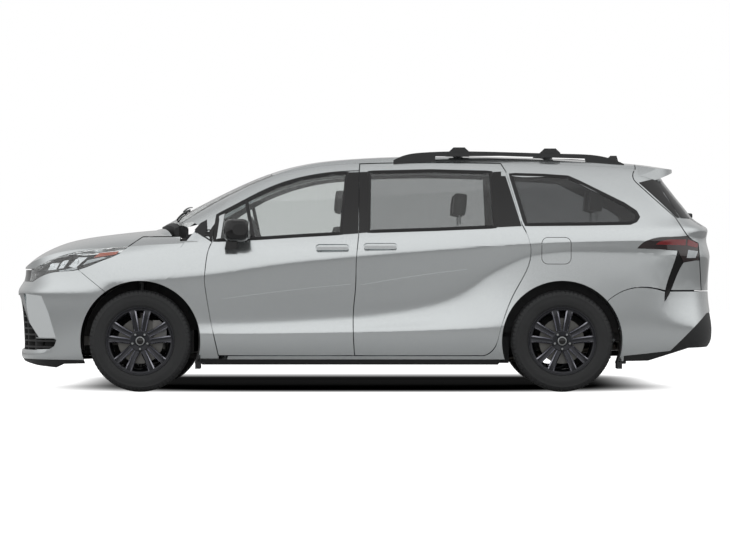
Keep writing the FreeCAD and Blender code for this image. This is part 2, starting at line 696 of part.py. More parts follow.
def make_nose():
    outer = SHELL["outer"]
    hood_box = bow_strip(-2800.0, COWL_FRONT_X - PANEL_GAP, SCREEN_BASE_BOW)
    hood = outer.common(side_prism(hood_runs())).cut(SHELL["fender_in"]).common(hood_box)
    print("hood", hood.isValid(), len(hood.Solids))
    cowl_front = bow_strip(COWL_FRONT_X, COWL_STEP_X, SCREEN_BASE_BOW)
    cowl_rear = bow_strip(COWL_STEP_X, COWL_REAR_X, SCREEN_BASE_BOW)
    hood_zone = side_prism(hood_runs())
    low_part = SHELL["fender_in"].common(hood_zone).common(cowl_front).cut(SHELL["cowl_in"])
    high_part = outer.common(hood_zone).common(cowl_rear).cut(SHELL["cowl_in"])
    cowl = low_part.fuse(high_part).common(box(-1700, -1300, -COWL_HALF, 10, 900, 1400))
    print("cowl", cowl.isValid(), len(cowl.Solids))
    arch = cylinder_y(FRONT_AXLE_X, TYRE_RADIUS, ARCH_RADIUS, NEAR_Y, 0)
    fender = in_region(fender_runs(), "fender_in")
    for tool in (arch, side_prism(hood_runs(), PANEL_GAP), side_prism(lamp_runs(), LAMP_GAP),
                 side_prism(front_door_runs(), PANEL_GAP), side_prism(body_runs(), PANEL_GAP / 2).cut(SHELL["glass_in"])):
        fender = fender.cut(tool)
    print("fender", fender.isValid(), len(fender.Solids))
    lamp_zone = box(-2800, -1500, NEAR_Y, -LAMP_INNER_Y, 0, 1400)
    lamp = outer.common(side_prism(lamp_runs())).common(lamp_zone).cut(SHELL["lamp_in"])
    print("lamp", lamp.isValid(), len(lamp.Solids))
    facet, behind_facet = corner_facet()
    hollow = SHELL["fender_in"].cut(behind_facet)
    bumper = outer.common(side_prism(front_bumper_runs())).cut(facet).cut(hollow)
    bumper = bumper.cut([arch, side_prism(lamp_runs(), LAMP_GAP), side_prism(fender_runs(), PANEL_GAP / 2)])
    for tool in (front_prism(MOUTH, -2800, -2200), outline_prism(SLOT)):
        bumper = bumper.cut(tool)
    print("bumper", bumper.isValid(), len(bumper.Solids), [round(v.Volume / 1e6, 3) for v in bumper.Solids])
    trim = SHELL["glass_out"].common(side_prism(front_trim_runs(), -SEAM)).cut(SHELL["fender_in"]).cut(arch)
    print("front trim", trim.isValid(), len(trim.Solids))
    return biggest(hood), biggest(cowl), biggest(fender), biggest(lamp), biggest(bumper), biggest(trim)


def ditch_runs():
    """All that lies above the roof's side seams and behind the windscreen."""
    return [DITCH_LINE, [DITCH_LINE[-1], (1985, 1900)], [(1985, 1900), (-900, 1900)], [(-900, 1900), (-900, 1600)],
            [(-900, 1600), DITCH_LINE[0]]]


def screen_runs():
    return [SCREEN_SIDE, [SCREEN_SIDE[-1], (-610, 1680)], [(-610, 1680), (-610, 1900)], [(-610, 1900), (-1700, 1900)],
            [(-1700, 1900), (-1700, 1000)], [(-1700, 1000), SCREEN_SIDE[0]]]


def gate_runs():
    return [TAIL_SEAM[:2], TAIL_SEAM[1:4], TAIL_SEAM[3:6], TAIL_SEAM[5:], [TAIL_SEAM[-1], (GATE_LOW_X, GATE_LOW_Z)],
            [(GATE_LOW_X, GATE_LOW_Z), (2800, GATE_LOW_Z)], [(2800, GATE_LOW_Z), (2800, 1900)], [(2800, 1900), (1985, 1900)],
            [(1985, 1900), TAIL_SEAM[0]]]


def body_runs():
    """The fixed side: pillars, sill, roof rail and rear quarter in one pressing."""
    return [[(-1060, SILL_LOW_Z), (POST_FRONT_X, SILL_LOW_Z)], [(POST_FRONT_X, SILL_LOW_Z), (POST_FRONT_X, POST_TOP_Z)],
            [(POST_FRONT_X, POST_TOP_Z), (-1231, 1172)],
            [(-1231, 1172), (-1206, 1211)], [(-1206, 1211), (-1263, 1240)], [(-1263, 1240), SCREEN_SIDE[0]], SCREEN_SIDE,
            DITCH_LINE, [DITCH_LINE[-1], (2700, 1624)], [(2700, 1624), (2700, 740)], [(2700, 740), REAR_BUMPER_TOP[-1]],
            list(reversed(REAR_BUMPER_TOP)), [REAR_BUMPER_TOP[0], (1500, SILL_LOW_Z)],
            [(1500, SILL_LOW_Z), (-1060, SILL_LOW_Z)]]


def fender_zone():
    """The fender's outline, carried down past the sill and forward past the arch."""
    return [[(-1500, 150), (-1500, 1150)], [(-1500, 1150), (-1345, 1218), (-1263, 1240)],
            [(-1263, 1240), (-1206, 1211)], [(-1206, 1211), (-1231, 1172)], [(-1231, 1172), (-1104, 1088)],
            list(reversed(FRONT_DOOR_FRONT)), [FRONT_DOOR_FRONT[0], (-1060, 150)], [(-1060, 150), (-1500, 150)]]


FRONT_APERTURE = [[(-1040, 305), (-1085, 520), (-1085, 1040), (-1035, 1235)],
                  [(-1035, 1235), (-862, 1352), (-634, 1460), (-458, 1514), (-239, 1552), (-95, 1562)],
                  [(-95, 1562), (-105, 1135), (-130, 850), (-140, 500), (-130, 305)], [(-130, 305), (-1040, 305)]]
SLIDE_APERTURE = [[(-15, 305), (-25, 500), (-15, 850), (10, 1135), (25, 1575)], [(25, 1575), (480, 1585), (960, 1572)],
                  [(960, 1572), (1060, 1240), (1120, 1090), (1120, 960), (1010, 720), (935, 560), (885, 400), (860, 305)],
                  [(860, 305), (-15, 305)]]


def make_sides():
    outer = SHELL["outer"]
    wall = outer.common(side_prism(body_runs())).cut(SHELL["jamb_in"])
    print("wall", wall.isValid(), len(wall.Solids))
    gap = PANEL_GAP
    tools = [
        side_prism(front_door_runs(), gap).cut(SHELL["jamb_out"]),
        side_prism(slide_door_runs(), gap).cut(hinge_sweep(-gap / 2)).cut(SHELL["jamb_out"]),
        side_prism(fender_zone(), gap).common(box(-2000, POST_STEP_X, NEAR_Y, 10, 0, 1500)).cut(SHELL["post_out"]),
        side_prism(fender_zone(), gap).common(box(POST_STEP_X - 1, -900, NEAR_Y, 10, 0, 1500)).cut(SHELL["jamb_out"]),
        Part.makeCylinder(HINGE_REACH, 1500, V(HINGE_X, -HINGE_Y, 0)).cut(box(-1300, -900, NEAR_Y, -838, 1084, 1500)),
        cylinder_y(FRONT_AXLE_X, TYRE_RADIUS, ARCH_RADIUS + LINER_WALL + 1, NEAR_Y, 10),
        side_prism(FRONT_APERTURE), side_prism(SLIDE_APERTURE), side_prism(QUARTER_GLASS),
        cylinder_y(REAR_AXLE_X, TYRE_RADIUS, ARCH_RADIUS, NEAR_Y, 0),
        side_prism(gate_runs(), gap), side_prism(TAIL_LAMP, LAMP_GAP).cut(SHELL["lamp_in"]),
        side_prism(CORNER_TRIM, LAMP_GAP).cut(SHELL["post_out"]),
    ]
    side = wall
    for tool in tools:
        side = side.cut(tool)
    print("side", side.isValid(), len(side.Solids), [round(v.Volume / 1e6, 2) for v in side.Solids])
    return side



TAIL_LAMP = [[(1980, 1043), (2040, 1093), (2132, 1119), (2355, 1134)], [(2355, 1134), (2600, 1134)],
             [(2600, 1134), (2600, 957)], [(2600, 957), (2406, 957)], [(2406, 957), (2315, 941)],
             [(2315, 941), (2274, 1028)], [(2274, 1028), (2120, 1036), (1980, 1043)]]
GATE_HINGE_X = 1985.0
GATE_HINGE_Z = 1673.0
# The black lower rear bumper and the black blade below the tail lamp, from the side
REAR_TRIM = [[(1880, 262), (2220, 298)], [(2220, 298), (2501, 570)], [(2501, 570), (2700, 600)], [(2700, 600), (2700, 150)],
             [(2700, 150), (1880, 150)], [(1880, 150), (1880, 262)]]
CORNER_TRIM = [[(2274, 1028), (2234, 900), (2188, 762), (2177, 661)], [(2177, 661), (2220, 740), (2264, 849), (2315, 941)],
               [(2315, 941), (2274, 1028)]]
SPOILER_START = 18.0
SPOILER_SIDE = [[(1990, 1720), (1990, 1516)], [(1990, 1516), (2100, 1535), (2200, 1570), (2292, 1612)],
                [(2292, 1612), (2292, 1720)], [(2292, 1720), (1990, 1720)]]
SPOILER_PLAN = [(2286, 0), (2283, -200), (2268, -400), (2232, -540), (2150, -640), (1980, -720), (1980, 0)]
SCREEN_TOP_X = -703.0
SCREEN_TOP_BOW = 36.0


def make_roof():
    outer = SHELL["outer"]
    behind = box(GATE_HINGE_X - PANEL_GAP, 2700, NEAR_Y, 10, 1000, 1900)
    roof = outer.common(side_prism(ditch_runs(), -SEAM)).common(SHELL["roof_low"])
    roof = roof.common(bow_strip(SCREEN_TOP_X + PANEL_GAP / 2, 2300, SCREEN_TOP_BOW)).cut(behind)
    screen = outer.common(side_prism(screen_runs(), -SEAM)).cut(SHELL["screen_in"])
    screen = screen.common(bow_strip(COWL_REAR_X + PANEL_GAP / 2, SCREEN_TOP_X - PANEL_GAP / 2,
                                     SCREEN_BASE_BOW, SCREEN_TOP_BOW))
    print("roof", roof.isValid(), len(roof.Solids), screen.isValid(), len(screen.Solids))
    return biggest(roof), biggest(screen)


def make_tail():
    outer = SHELL["outer"]
    gate_region = side_prism(gate_runs())
    pane = [V(1900, 10, 1205), V(1900, -690, 1205), V(1900, -610, 1540), V(1900, 10, 1560)]
    window = Part.Face(Part.makePolygon(pane + pane[:1])).extrude(V(900, 0, 0))
    gate = outer.common(gate_region).cut(SHELL["gate_in"]).cut(window)
    glass = SHELL["glass_out"].common(window).common(gate_region).cut(SHELL["glass_in"])
    low = [[(2700, GATE_LOW_Z - PANEL_GAP), (2172, GATE_LOW_Z - PANEL_GAP)],
           [(2172, GATE_LOW_Z - PANEL_GAP), (1857, 722), (1766, 662)],
           [(1766, 662), (1700, 400)], [(1700, 400), (1840, 222)], [(1840, 222), (2060, 226)],
           [(2060, 226), (2357, 318)], [(2357, 318), (2700, 325)], [(2700, 325), (2700, GATE_LOW_Z - PANEL_GAP)]]
    arch = cylinder_y(REAR_AXLE_X, TYRE_RADIUS, ARCH_RADIUS, NEAR_Y, 0)
    trim_zone = side_prism(REAR_TRIM)
    whole_bumper = in_region(low, "fender_in").cut(arch)
    bumper = whole_bumper.cut(trim_zone).cut(side_prism(CORNER_TRIM, LAMP_GAP))
    trim = SHELL["glass_out"].common(side_prism(low)).common(side_prism(REAR_TRIM, -SEAM)).cut(SHELL["fender_in"])
    corner = SHELL["glass_out"].common(side_prism(CORNER_TRIM)).cut(SHELL["post_out"])
    corner = corner.cut(side_prism(TAIL_LAMP, LAMP_GAP))
    lamp = outer.common(side_prism(TAIL_LAMP)).cut(SHELL["lamp_in"]).cut(side_prism(gate_runs(), PANEL_GAP))
    print("tail", gate.isValid(), len(gate.Solids), glass.isValid(), len(glass.Solids), bumper.isValid(),
          len(bumper.Solids), lamp.isValid(), len(lamp.Solids))
    print("tail trim", trim.isValid(), len(trim.Solids), corner.isValid(), len(corner.Solids))
    return biggest(gate), biggest(glass), biggest(bumper), biggest(lamp), biggest(trim), biggest(corner)


def make_spoiler():
    """The lip that carries the roof's line back over the rear window, as wide as the roof where it starts."""
    start = GATE_HINGE_X + SPOILER_START
    section = SHELL["outer"].slice(V(1, 0, 0), start)[0]
    roof_up = smooth_face(sheet_grid(roof_z, SEAM)).extrude(V(0, 0, 1500))
    run = Part.Face(section).extrude(V(320, 0, 0)).cut(roof_up).common(side_prism(SPOILER_SIDE))
    corners = [V(x, y, 1300) for x, y in SPOILER_PLAN]
    plan = Part.Face(Part.Wire([edge_through(corners[:-1]), Part.makeLine(corners[-2], corners[-1]),
                                Part.makeLine(corners[-1], corners[0])])).extrude(V(0, 0, 600))
    return biggest(run.common(plan).cut(side_solid(-SEAM, -SEAM)))


FLOOR_Z = 236.0
FLOOR_WALL = 30.0
REAR_FLOOR_Z = 430.0
FIREWALL_X = -1330.0
FIREWALL_TOP_Z = 1120.0
SILL_STRIP_Z = 197.0
LINER_WALL = 8.0
FRONT_LINER_Y = 515.0
REAR_LINER_Y = 705.0

# Wheels and tyres
RIM_RADIUS = 228.6
RIM_LIP = 247.0
HUB_FACE_Y = 40.0
DISC_RADIUS = 166.0
SPOKE_PAIRS = 5


def revolved_y(profile):
    """A ring turned about the Y axis from (radius, y) points joined by straight lines."""
    points = [V(0, y, r) for r, y in profile]
    face = Part.Face(Part.makePolygon(points + points[:1]))
    return face.revolve(V(0, 0, 0), V(0, 1, 0), 360)


def make_tyre():
    """A tyre with a rounded shoulder and bulged sidewalls, centred on the origin, outside towards -Y."""
    half = TYRE_WIDTH / 2
    bead = RIM_RADIUS + 0.4
    seat_y = 103.6
    outside = [(bead, seat_y), (RIM_LIP + 3, seat_y), (RIM_LIP + 22, half - 3), (RIM_LIP + 55, half),
               (TYRE_RADIUS - 40, half - 5), (TYRE_RADIUS - 14, half - 16), (TYRE_RADIUS - 4, half - 32),
               (TYRE_RADIUS, half - 60)]
    inside = [(TYRE_RADIUS - 16, half - 40), (TYRE_RADIUS - 40, half - 19), (RIM_LIP + 55, half - 14),
              (RIM_LIP + 10, half - 20), (bead, seat_y - 20)]
    profile = outside + [(r, -y) for r, y in reversed(outside)]
    profile += [(r, -y) for r, y in reversed(inside)] + inside
    return revolved_y(profile)


def make_wheel():
    """A cast wheel with five pairs of spokes, joined to its hub and brake disc."""
    barrel = revolved_y([(RIM_LIP, -109), (RIM_LIP, -104), (RIM_RADIUS, -104), (RIM_RADIUS, -80), (RIM_RADIUS - 8, -60),
                         (RIM_RADIUS - 8, 60), (RIM_RADIUS, 80), (RIM_RADIUS, 104), (RIM_LIP, 104), (RIM_LIP, 109),
                         (RIM_RADIUS - 8, 109), (RIM_RADIUS - 14, 60), (RIM_RADIUS - 14, -60), (RIM_RADIUS - 8, -109)])
    hub = Part.makeCylinder(72, 46, V(0, -88, 0), V(0, 1, 0))
    solid = barrel.fuse(hub)
    for i in range(SPOKE_PAIRS):
        middle = 90.0 + i * 360.0 / SPOKE_PAIRS
        for side in (-1, 1):
            a = math.radians(middle + side * 16.0)
            b = math.radians(middle + side * 24.0)
            c = math.radians(middle + side * 8.0)
            near = [V(58 * math.cos(b), -92, 58 * math.sin(b)), V(58 * math.cos(c), -92, 58 * math.sin(c)),
                    V(223 * math.cos(math.radians(middle + side * 12.5)), -102,
                      223 * math.sin(math.radians(middle + side * 12.5))),
                    V(223 * math.cos(math.radians(middle + side * 19.5)), -102,
                      223 * math.sin(math.radians(middle + side * 19.5)))]
            solid = solid.fuse(Part.Face(Part.makePolygon(near + near[:1])).extrude(V(0, 26, 0)))
    disc = Part.makeCylinder(DISC_RADIUS, 26, V(0, -10, 0), V(0, 1, 0))
    hat = Part.makeCylinder(82, 40, V(0, -44, 0), V(0, 1, 0))
    return solid.fuse([disc, hat])


def place_wheels(shape, x, left_y):
    """The left wheel, and the right one turned to face outwards."""
    left = shape.copy()
    left.translate(V(x, left_y, TYRE_RADIUS))
    return left, mirrored(left)


STEER_FOOT = V(FRONT_AXLE_X, -775.0, TYRE_RADIUS)
STEER_AXIS = V(0, math.sin(math.radians(14.0)), math.cos(math.radians(14.0)))


def on_steer_axis(z):
    return STEER_FOOT + STEER_AXIS * ((z - TYRE_RADIUS) / STEER_AXIS.z)


def rod(a, b, radius):
    return Part.makeCylinder(radius, (b - a).Length, a, b - a)


def make_knuckle():
    """Steering knuckle of the left front wheel, with its hub carrier, caliper and strut."""
    foot = on_steer_axis(212.0)
    neck = on_steer_axis(640.0)
    x = FRONT_AXLE_X
    z = TYRE_RADIUS
    carrier = cylinder_y(x, z, 52, -843.7, -735)
    lower = rod(foot, on_steer_axis(330.0), 22)
    upright = rod(V(x, -735, 300), V(x, -706, 640), 26)
    strut = rod(on_steer_axis(650.0), on_steer_axis(923.5), 25)
    clamp = box(x - 30, x + 30, -735, -690, 590, 660)
    caliper = box(x + 90, x + 190, -900, -815, z + 20, z + 150).cut(cylinder_y(x, z, DISC_RADIUS + 5, -875, -839))
    caliper = caliper.common(cylinder_y(x, z, 205, -905, -800)).cut(cylinder_y(x, z, 105, -905, -800))
    bracket = box(x + 20, x + 150, -830, -800, z - 20, z + 60)
    arm = box(x + 20, x + 170, -760, -735, z - 60, z - 30)
    return carrier.fuse([lower, upright, clamp, strut, bracket, caliper, arm]).removeSplitter()


def make_front_axle():
    """Subframe and lower arms that carry the front knuckles."""
    x = FRONT_AXLE_X
    cross = box(x - 70, x + 160, -440, 440, 196, 262)
    tip = on_steer_axis(190.0)
    arms = []
    for side in (-1, 1):
        end = V(x, side * abs(tip.y), 188)
        for dx in (-50, 130):
            arms.append(rod(V(x + dx, side * 400, 215), end, 15))
        arms.append(Part.makeCylinder(18, 26, V(x, side * abs(tip.y), 180)))
        y0, y1 = sorted((side * 438, side * 502))
        arms.append(box(x - 60, x + 60, y0, y1, 200, 400))
    return cross.fuse(arms).removeSplitter()


def make_rear_axle():
    x = REAR_AXLE_X
    z = TYRE_RADIUS
    beam = box(x - 45, x + 45, -640, 640, z - 60, z + 20)
    pieces = []
    for side in (-1, 1):
        y0, y1 = sorted((side * 640, side * 840))
        pieces.append(cylinder_y(x, z, 46, y0, y1))
        y0, y1 = sorted((side * 560, side * 640))
        pieces.append(box(x - 410, x + 45, y0, y1, z - 60, z + 10))
        pieces.append(box(x - 410, x - 350, y0, y1, z, REAR_FLOOR_Z))
        pieces.append(Part.makeCylinder(58, REAR_FLOOR_Z - z + 30, V(x + 10, side * 540, z - 30)))
    return beam.fuse(pieces).removeSplitter()



FLOOR_Z = 236.0
FLOOR_WALL = 30.0
REAR_FLOOR_Z = 430.0
FIREWALL_X = -1330.0
FIREWALL_TOP_Z = 1120.0
SILL_STRIP_Z = 197.0
LINER_WALL = 8.0
FRONT_LINER_Y = 515.0
REAR_LINER_Y = 705.0


def ribbon(points, thick):
    """A bent sheet seen from the side: an open line of (x, z) points given a thickness downwards."""
    lower = [(x, z - thick) for x, z in reversed(points)]
    return [V(x, NEAR_Y, z) for x, z in points + lower]


def make_underbody():
    """Floor pressing with its step over the rear axle, the firewall, the front rails and the radiator frame."""
    top = FLOOR_Z + FLOOR_WALL
    line = [(FIREWALL_X, top), (880, top), (1010, REAR_FLOOR_Z + FLOOR_WALL), (1850, REAR_FLOOR_Z + FLOOR_WALL),
            (1900, 390), (2420, 390)]
    points = ribbon(line, FLOOR_WALL)
    slab = Part.Face(Part.makePolygon(points + points[:1])).extrude(V(0, 10 - NEAR_Y, 0))
    floor = slab.common(SHELL["jamb_in"])
    floor = floor.cut(cylinder_y(REAR_AXLE_X, TYRE_RADIUS, ARCH_RADIUS, NEAR_Y, -REAR_LINER_Y))
    wall = box(FIREWALL_X, FIREWALL_X + 30, NEAR_Y, 10, FLOOR_Z, FIREWALL_TOP_Z).common(SHELL["jamb_in"])
    rail = box(-2330, FIREWALL_X, -505, -435, 400, 520)
    tower = box(FRONT_AXLE_X - 110, FRONT_AXLE_X + 110, -720, -505, 930, 960)
    post = box(FRONT_AXLE_X - 110, FRONT_AXLE_X + 110, -530, -505, 500, 960)
    beam = box(-2340, -2280, -600, 10, 420, 500)
    cross = box(-2320, -2280, -560, 10, 740, 800)
    stay = box(-2320, -2280, -480, -440, 420, 800)
    bracket = box(-2320, -2220, -800, -500, 790, 850).common(SHELL["lamp_in"])
    half = floor.fuse([wall, rail, tower, post, beam, cross, stay, bracket])
    arch = cylinder_y(FRONT_AXLE_X, TYRE_RADIUS, ARCH_RADIUS + LINER_WALL + 1, NEAR_Y, -FRONT_LINER_Y)
    return whole(half.cut(arch.cut(box(FRONT_AXLE_X - 120, FRONT_AXLE_X + 120, -730, -500, 600, 1000))))


def make_liners():
    """Arch liners of the four wheels, open below."""
    front = cylinder_y(FRONT_AXLE_X, TYRE_RADIUS, ARCH_RADIUS + LINER_WALL, -940, -FRONT_LINER_Y)
    front = front.cut(cylinder_y(FRONT_AXLE_X, TYRE_RADIUS, ARCH_RADIUS, -950, -FRONT_LINER_Y + 10))
    front = front.cut(box(-2200, -1100, -960, -500, -200, 300))
    front = front.cut(box(FRONT_AXLE_X - 120, FRONT_AXLE_X + 120, -740, -500, 600, 1000))
    front = front.cut(box(-2200, -1100, -525, -400, 390, 530)).common(SHELL["fender_in"])
    rear = cylinder_y(REAR_AXLE_X, TYRE_RADIUS, ARCH_RADIUS - 0.3, -830, -REAR_LINER_Y)
    rear = rear.cut(cylinder_y(REAR_AXLE_X, TYRE_RADIUS, ARCH_RADIUS - LINER_WALL, -850, -REAR_LINER_Y - LINER_WALL))
    rear = rear.cut(box(900, 2000, -960, -600, -200, REAR_FLOOR_Z + FLOOR_WALL + 4))
    return front, rear


def seat(x, y, width, cushion_z, deep, back_high, lean, floor_z):
    """A seat as one plain form: cushion, leaning back and headrest, from its side outline."""
    half = width / 2
    top = V(x + lean, 0, cushion_z + back_high)
    side = [V(x - deep, 0, cushion_z - 130), V(x - deep - 15, 0, cushion_z - 20), V(x - deep + 40, 0, cushion_z + 10),
            V(x - 60, 0, cushion_z - 25), V(x - 20, 0, cushion_z + 60), V(x + lean - 60, 0, cushion_z + back_high),
            V(x + lean + 50, 0, cushion_z + back_high), V(x + 90, 0, cushion_z - 40), V(x + 60, 0, cushion_z - 130)]
    for point in side:
        point.y = y - half
    body = Part.Face(Part.makePolygon(side + side[:1])).extrude(V(0, width, 0))
    rest = rounded_box(35, x + lean - 60, x + lean + 50, y - 130, y + 130,
                       cushion_z + back_high + 50, cushion_z + back_high + 230)
    posts = [Part.makeCylinder(7, 60, V(x + lean, y + dy, cushion_z + back_high - 5)) for dy in (-60, 60)]
    base = box(x - deep + 60, x + 40, y - half + 60, y + half - 60, floor_z, cushion_z - 125)
    return body.fuse([base, rest] + posts)


def make_dashboard():
    outline = [(FIREWALL_X + 30, 760), (FIREWALL_X + 30, 1140), (-1180, 1165), (-950, 1150), (-870, 1060), (-890, 900),
               (-1040, 740), (-1150, 730)]
    points = [V(x, NEAR_Y, z) for x, z in outline]
    block = Part.Face(Part.makePolygon(points + points[:1])).extrude(V(0, 10 - NEAR_Y, 0))
    hollow = block.common(SHELL["jamb_in"]).common(box(-1400, -700, -790, 10, 500, 1300))
    console = box(-1000, -560, -110, 10, FLOOR_Z + FLOOR_WALL, 760)
    axis = V(math.cos(WHEEL_LEAN), 0, math.sin(WHEEL_LEAN))
    shroud = rod(WHEEL_CENTRE - axis * 260, WHEEL_CENTRE - axis * 80.3, 42)
    return whole(hollow.fuse(console)).fuse(shroud)


WHEEL_CENTRE = V(-770, -372, 1105)
WHEEL_LEAN = math.radians(24.0)


def make_steering_wheel():
    axis = V(math.cos(WHEEL_LEAN), 0, math.sin(WHEEL_LEAN))
    section = [V(178 + 15 * math.cos(i * math.pi / 5), 0, 15 * math.sin(i * math.pi / 5)) for i in range(10)]
    ring = Part.Face(Part.makePolygon(section + section[:1])).revolve(V(0, 0, 0), V(0, 0, 1), 360)
    ring.rotate(V(0, 0, 0), V(0, 1, 0), 90 - math.degrees(WHEEL_LEAN))
    ring.translate(WHEEL_CENTRE)
    hub = Part.makeCylinder(62, 34, WHEEL_CENTRE - axis * 30, axis)
    across = V(0, 1, 0)
    down = V(math.sin(WHEEL_LEAN), 0, -math.cos(WHEEL_LEAN))
    spokes = [rod(WHEEL_CENTRE + across * -176, WHEEL_CENTRE + across * 176, 12),
              rod(WHEEL_CENTRE, WHEEL_CENTRE + down * 176, 12)]
    column = Part.makeCylinder(22, 52, WHEEL_CENTRE - axis * 80, axis)
    return ring.fuse([hub, column] + spokes)


def rounded_ring(x0, x1, z0, z1, y, radius):
    """A rectangle with round corners in a plane across the vehicle's left side."""
    corners = [(x1 - radius, z1 - radius, 0), (x0 + radius, z1 - radius, 90), (x0 + radius, z0 + radius, 180),
               (x1 - radius, z0 + radius, 270)]
    points = []
    for x, z, start in corners:
        for step in (0, 30, 60, 90):
            a = math.radians(start + step)
            points.append(V(x + radius * math.cos(a), y, z + radius * math.sin(a)))
    return Part.makePolygon(points + points[:1])


def make_mirror():
    """A mirror shell that swells and then rounds off towards its outer end, on a foot at the door's corner."""
    rings = [rounded_ring(-958, -850, 1106, 1206, -968, 22), rounded_ring(-990, -836, 1098, 1232, -1000, 34),
             rounded_ring(-1014, -831, 1090, 1252, -1060, 46), rounded_ring(-1010, -831, 1094, 1250, -1130, 50),
             rounded_ring(-985, -834, 1112, 1236, -1176, 50), rounded_ring(-950, -842, 1136, 1216, -1191, 38)]
    shell = Part.makeLoft(rings, True, False)
    glass_side = box(-832, -700, -1300, -800, 1000, 1300)
    foot = [V(-1012, -880, 1034), V(-925, -880, 1034), V(-915, -880, 1130), V(-990, -880, 1130)]
    foot = Part.Face(Part.makePolygon(foot + foot[:1])).extrude(V(0, -150, 0))
    return shell.cut(glass_side).fuse(foot).cut(SHELL["outer"])


# Roof rails, seen from the side as (x, z), and the cross bars between them
RAIL_Y = 610.0
RAIL_WIDE = 34.0
RAIL_TOP = [(212, 1690), (300, 1728), (436, 1747), (1000, 1750), (1500, 1736), (1730, 1720), (1903, 1662)]
RAIL_LOW = [(1903, 1600), (1640, 1600), (1615, 1702), (1000, 1722), (520, 1719), (505, 1600), (212, 1600)]
BAR_X = (693.0, 1360.0)
BAR_Z = (1752.0, 1744.0)
BAR_WIDE = 70.0
BAR_HIGH = 26.0
CLAMP_LONG = 150.0


def make_rails():
    """Roof rails that stand on a foot at each end, and two cross bars clamped over them."""
    edges = [edge_through([V(x, 0, z) for x, z in RAIL_TOP])]
    corners = [RAIL_TOP[-1]] + RAIL_LOW + [RAIL_TOP[0]]
    edges += [Part.makeLine(V(a[0], 0, a[1]), V(b[0], 0, b[1])) for a, b in zip(corners, corners[1:])]
    rail = Part.Face(Part.Wire(edges)).extrude(V(0, RAIL_WIDE, 0))
    pieces = []
    for side in (-1, 1):
        piece = rail.copy()
        piece.translate(V(0, side * RAIL_Y - RAIL_WIDE / 2, 0))
        pieces.append(piece)
    for x, z in zip(BAR_X, BAR_Z):
        pieces.append(box(x - BAR_WIDE / 2, x + BAR_WIDE / 2, -RAIL_Y - 30, RAIL_Y + 30, z, z + BAR_HIGH))
        for side in (-1, 1):
            y = side * RAIL_Y
            foot = [V(x - CLAMP_LONG / 2, y - 26, z - 34), V(x + CLAMP_LONG / 2, y - 26, z - 34),
                    V(x + CLAMP_LONG / 2, y - 26, z), V(x + BAR_WIDE / 2 + 6, y - 26, z + BAR_HIGH + 6),
                    V(x - BAR_WIDE / 2 - 6, y - 26, z + BAR_HIGH + 6), V(x - CLAMP_LONG / 2, y - 26, z)]
            pieces.append(Part.Face(Part.makePolygon(foot + foot[:1])).extrude(V(0, 52, 0)))
    rails = pieces[0].fuse(pieces[1:])
    return rails.cut(SHELL["outer"]).cut(mirrored(SHELL["outer"]))


def make_antenna():
    """A low fin on the roof's centre line, leaning back to a blunt tip."""
    low = [V(1752, 0, 1660), V(1800, -22, 1660), V(1880, -30, 1660), V(1912, -14, 1660), V(1912, 14, 1660),
           V(1880, 30, 1660), V(1800, 22, 1660)]
    high = [V(1842, 0, 1742), V(1856, -3, 1742), V(1876, -4, 1742), V(1888, -2, 1742), V(1888, 2, 1742),
            V(1876, 4, 1742), V(1856, 3, 1742)]
    fin = Part.makeLoft([Part.makePolygon(low + low[:1]), Part.makePolygon(high + high[:1])], True, True)
    return fin.cut(SHELL["outer"]).cut(mirrored(SHELL["outer"]))


def make_grille():
    """The mouth's cross bars and upright stays on the curve of the nose, and the strip between the lamps."""
    pitch = (GRILLE_HIGH_Z - GRILLE_LOW_Z) / GRILLE_BARS
    bars = []
    for i in range(GRILLE_BARS):
        z = GRILLE_LOW_Z + (i + 0.5) * pitch
        bars.append(box(-2700, -2200, NEAR_Y, 10, z - GRILLE_BAR / 2, z + GRILLE_BAR / 2))
    for y in (-600, -450, -300, -150, 0):
        bars.append(box(-2700, -2200, y - GRILLE_STAY / 2, y + GRILLE_STAY / 2, GRILLE_LOW_Z, GRILLE_HIGH_Z))
    mesh = SHELL["grille_out"].common(bars[0].fuse(bars[1:])).cut(SHELL["fender_in"])
    half = mesh.common(front_prism(MOUTH, -2800, -2200).fuse(outline_prism(SLOT)))
    brow = SHELL["glass_out"].common(box(-2700, LAMP_LOW[-1][0] - LAMP_GAP, -LAMP_INNER_Y + LAMP_GAP, 10,
                                         BUMPER_TOP_Z + SEAM, HOOD_FRONT_Z - PANEL_GAP)).cut(SHELL["fender_in"])
    print("grille", half.isValid(), len(half.Solids), brow.isValid(), len(brow.Solids))
    return whole(half), whole(biggest(brow))


# Mud flaps: the sheet follows the arch down from its top edge and ends in a heavier foot below the sill
FLAP_TOP_Z = 450.0
FLAP_LOW_Z = 168.0
FLAP_FOOT_Z = 218.0
FLAP_WALL = 10.0
FLAP_FOOT = 36.0
FLAP_WIDE = 215.0
FLAP_Y = -940.0


def make_flap(axle_x):
    """One mud flap, hung inside the rear edge of its arch."""
    outer_r = ARCH_RADIUS - SEAM
    ring = cylinder_y(axle_x, TYRE_RADIUS, outer_r, FLAP_Y, FLAP_Y + FLAP_WIDE)
    ring = ring.cut(cylinder_y(axle_x, TYRE_RADIUS, outer_r - FLAP_WALL, FLAP_Y - 10, FLAP_Y + FLAP_WIDE + 10))
    ring = ring.common(box(axle_x, axle_x + 600, -1000, -600, FLAP_FOOT_Z - FLAP_WALL, FLAP_TOP_Z))
    front = axle_x + math.sqrt(outer_r ** 2 - (TYRE_RADIUS - FLAP_FOOT_Z) ** 2) - FLAP_WALL
    foot = box(front, front + FLAP_FOOT, FLAP_Y, FLAP_Y + FLAP_WIDE, FLAP_LOW_Z, FLAP_FOOT_Z)
    return ring.fuse(foot)


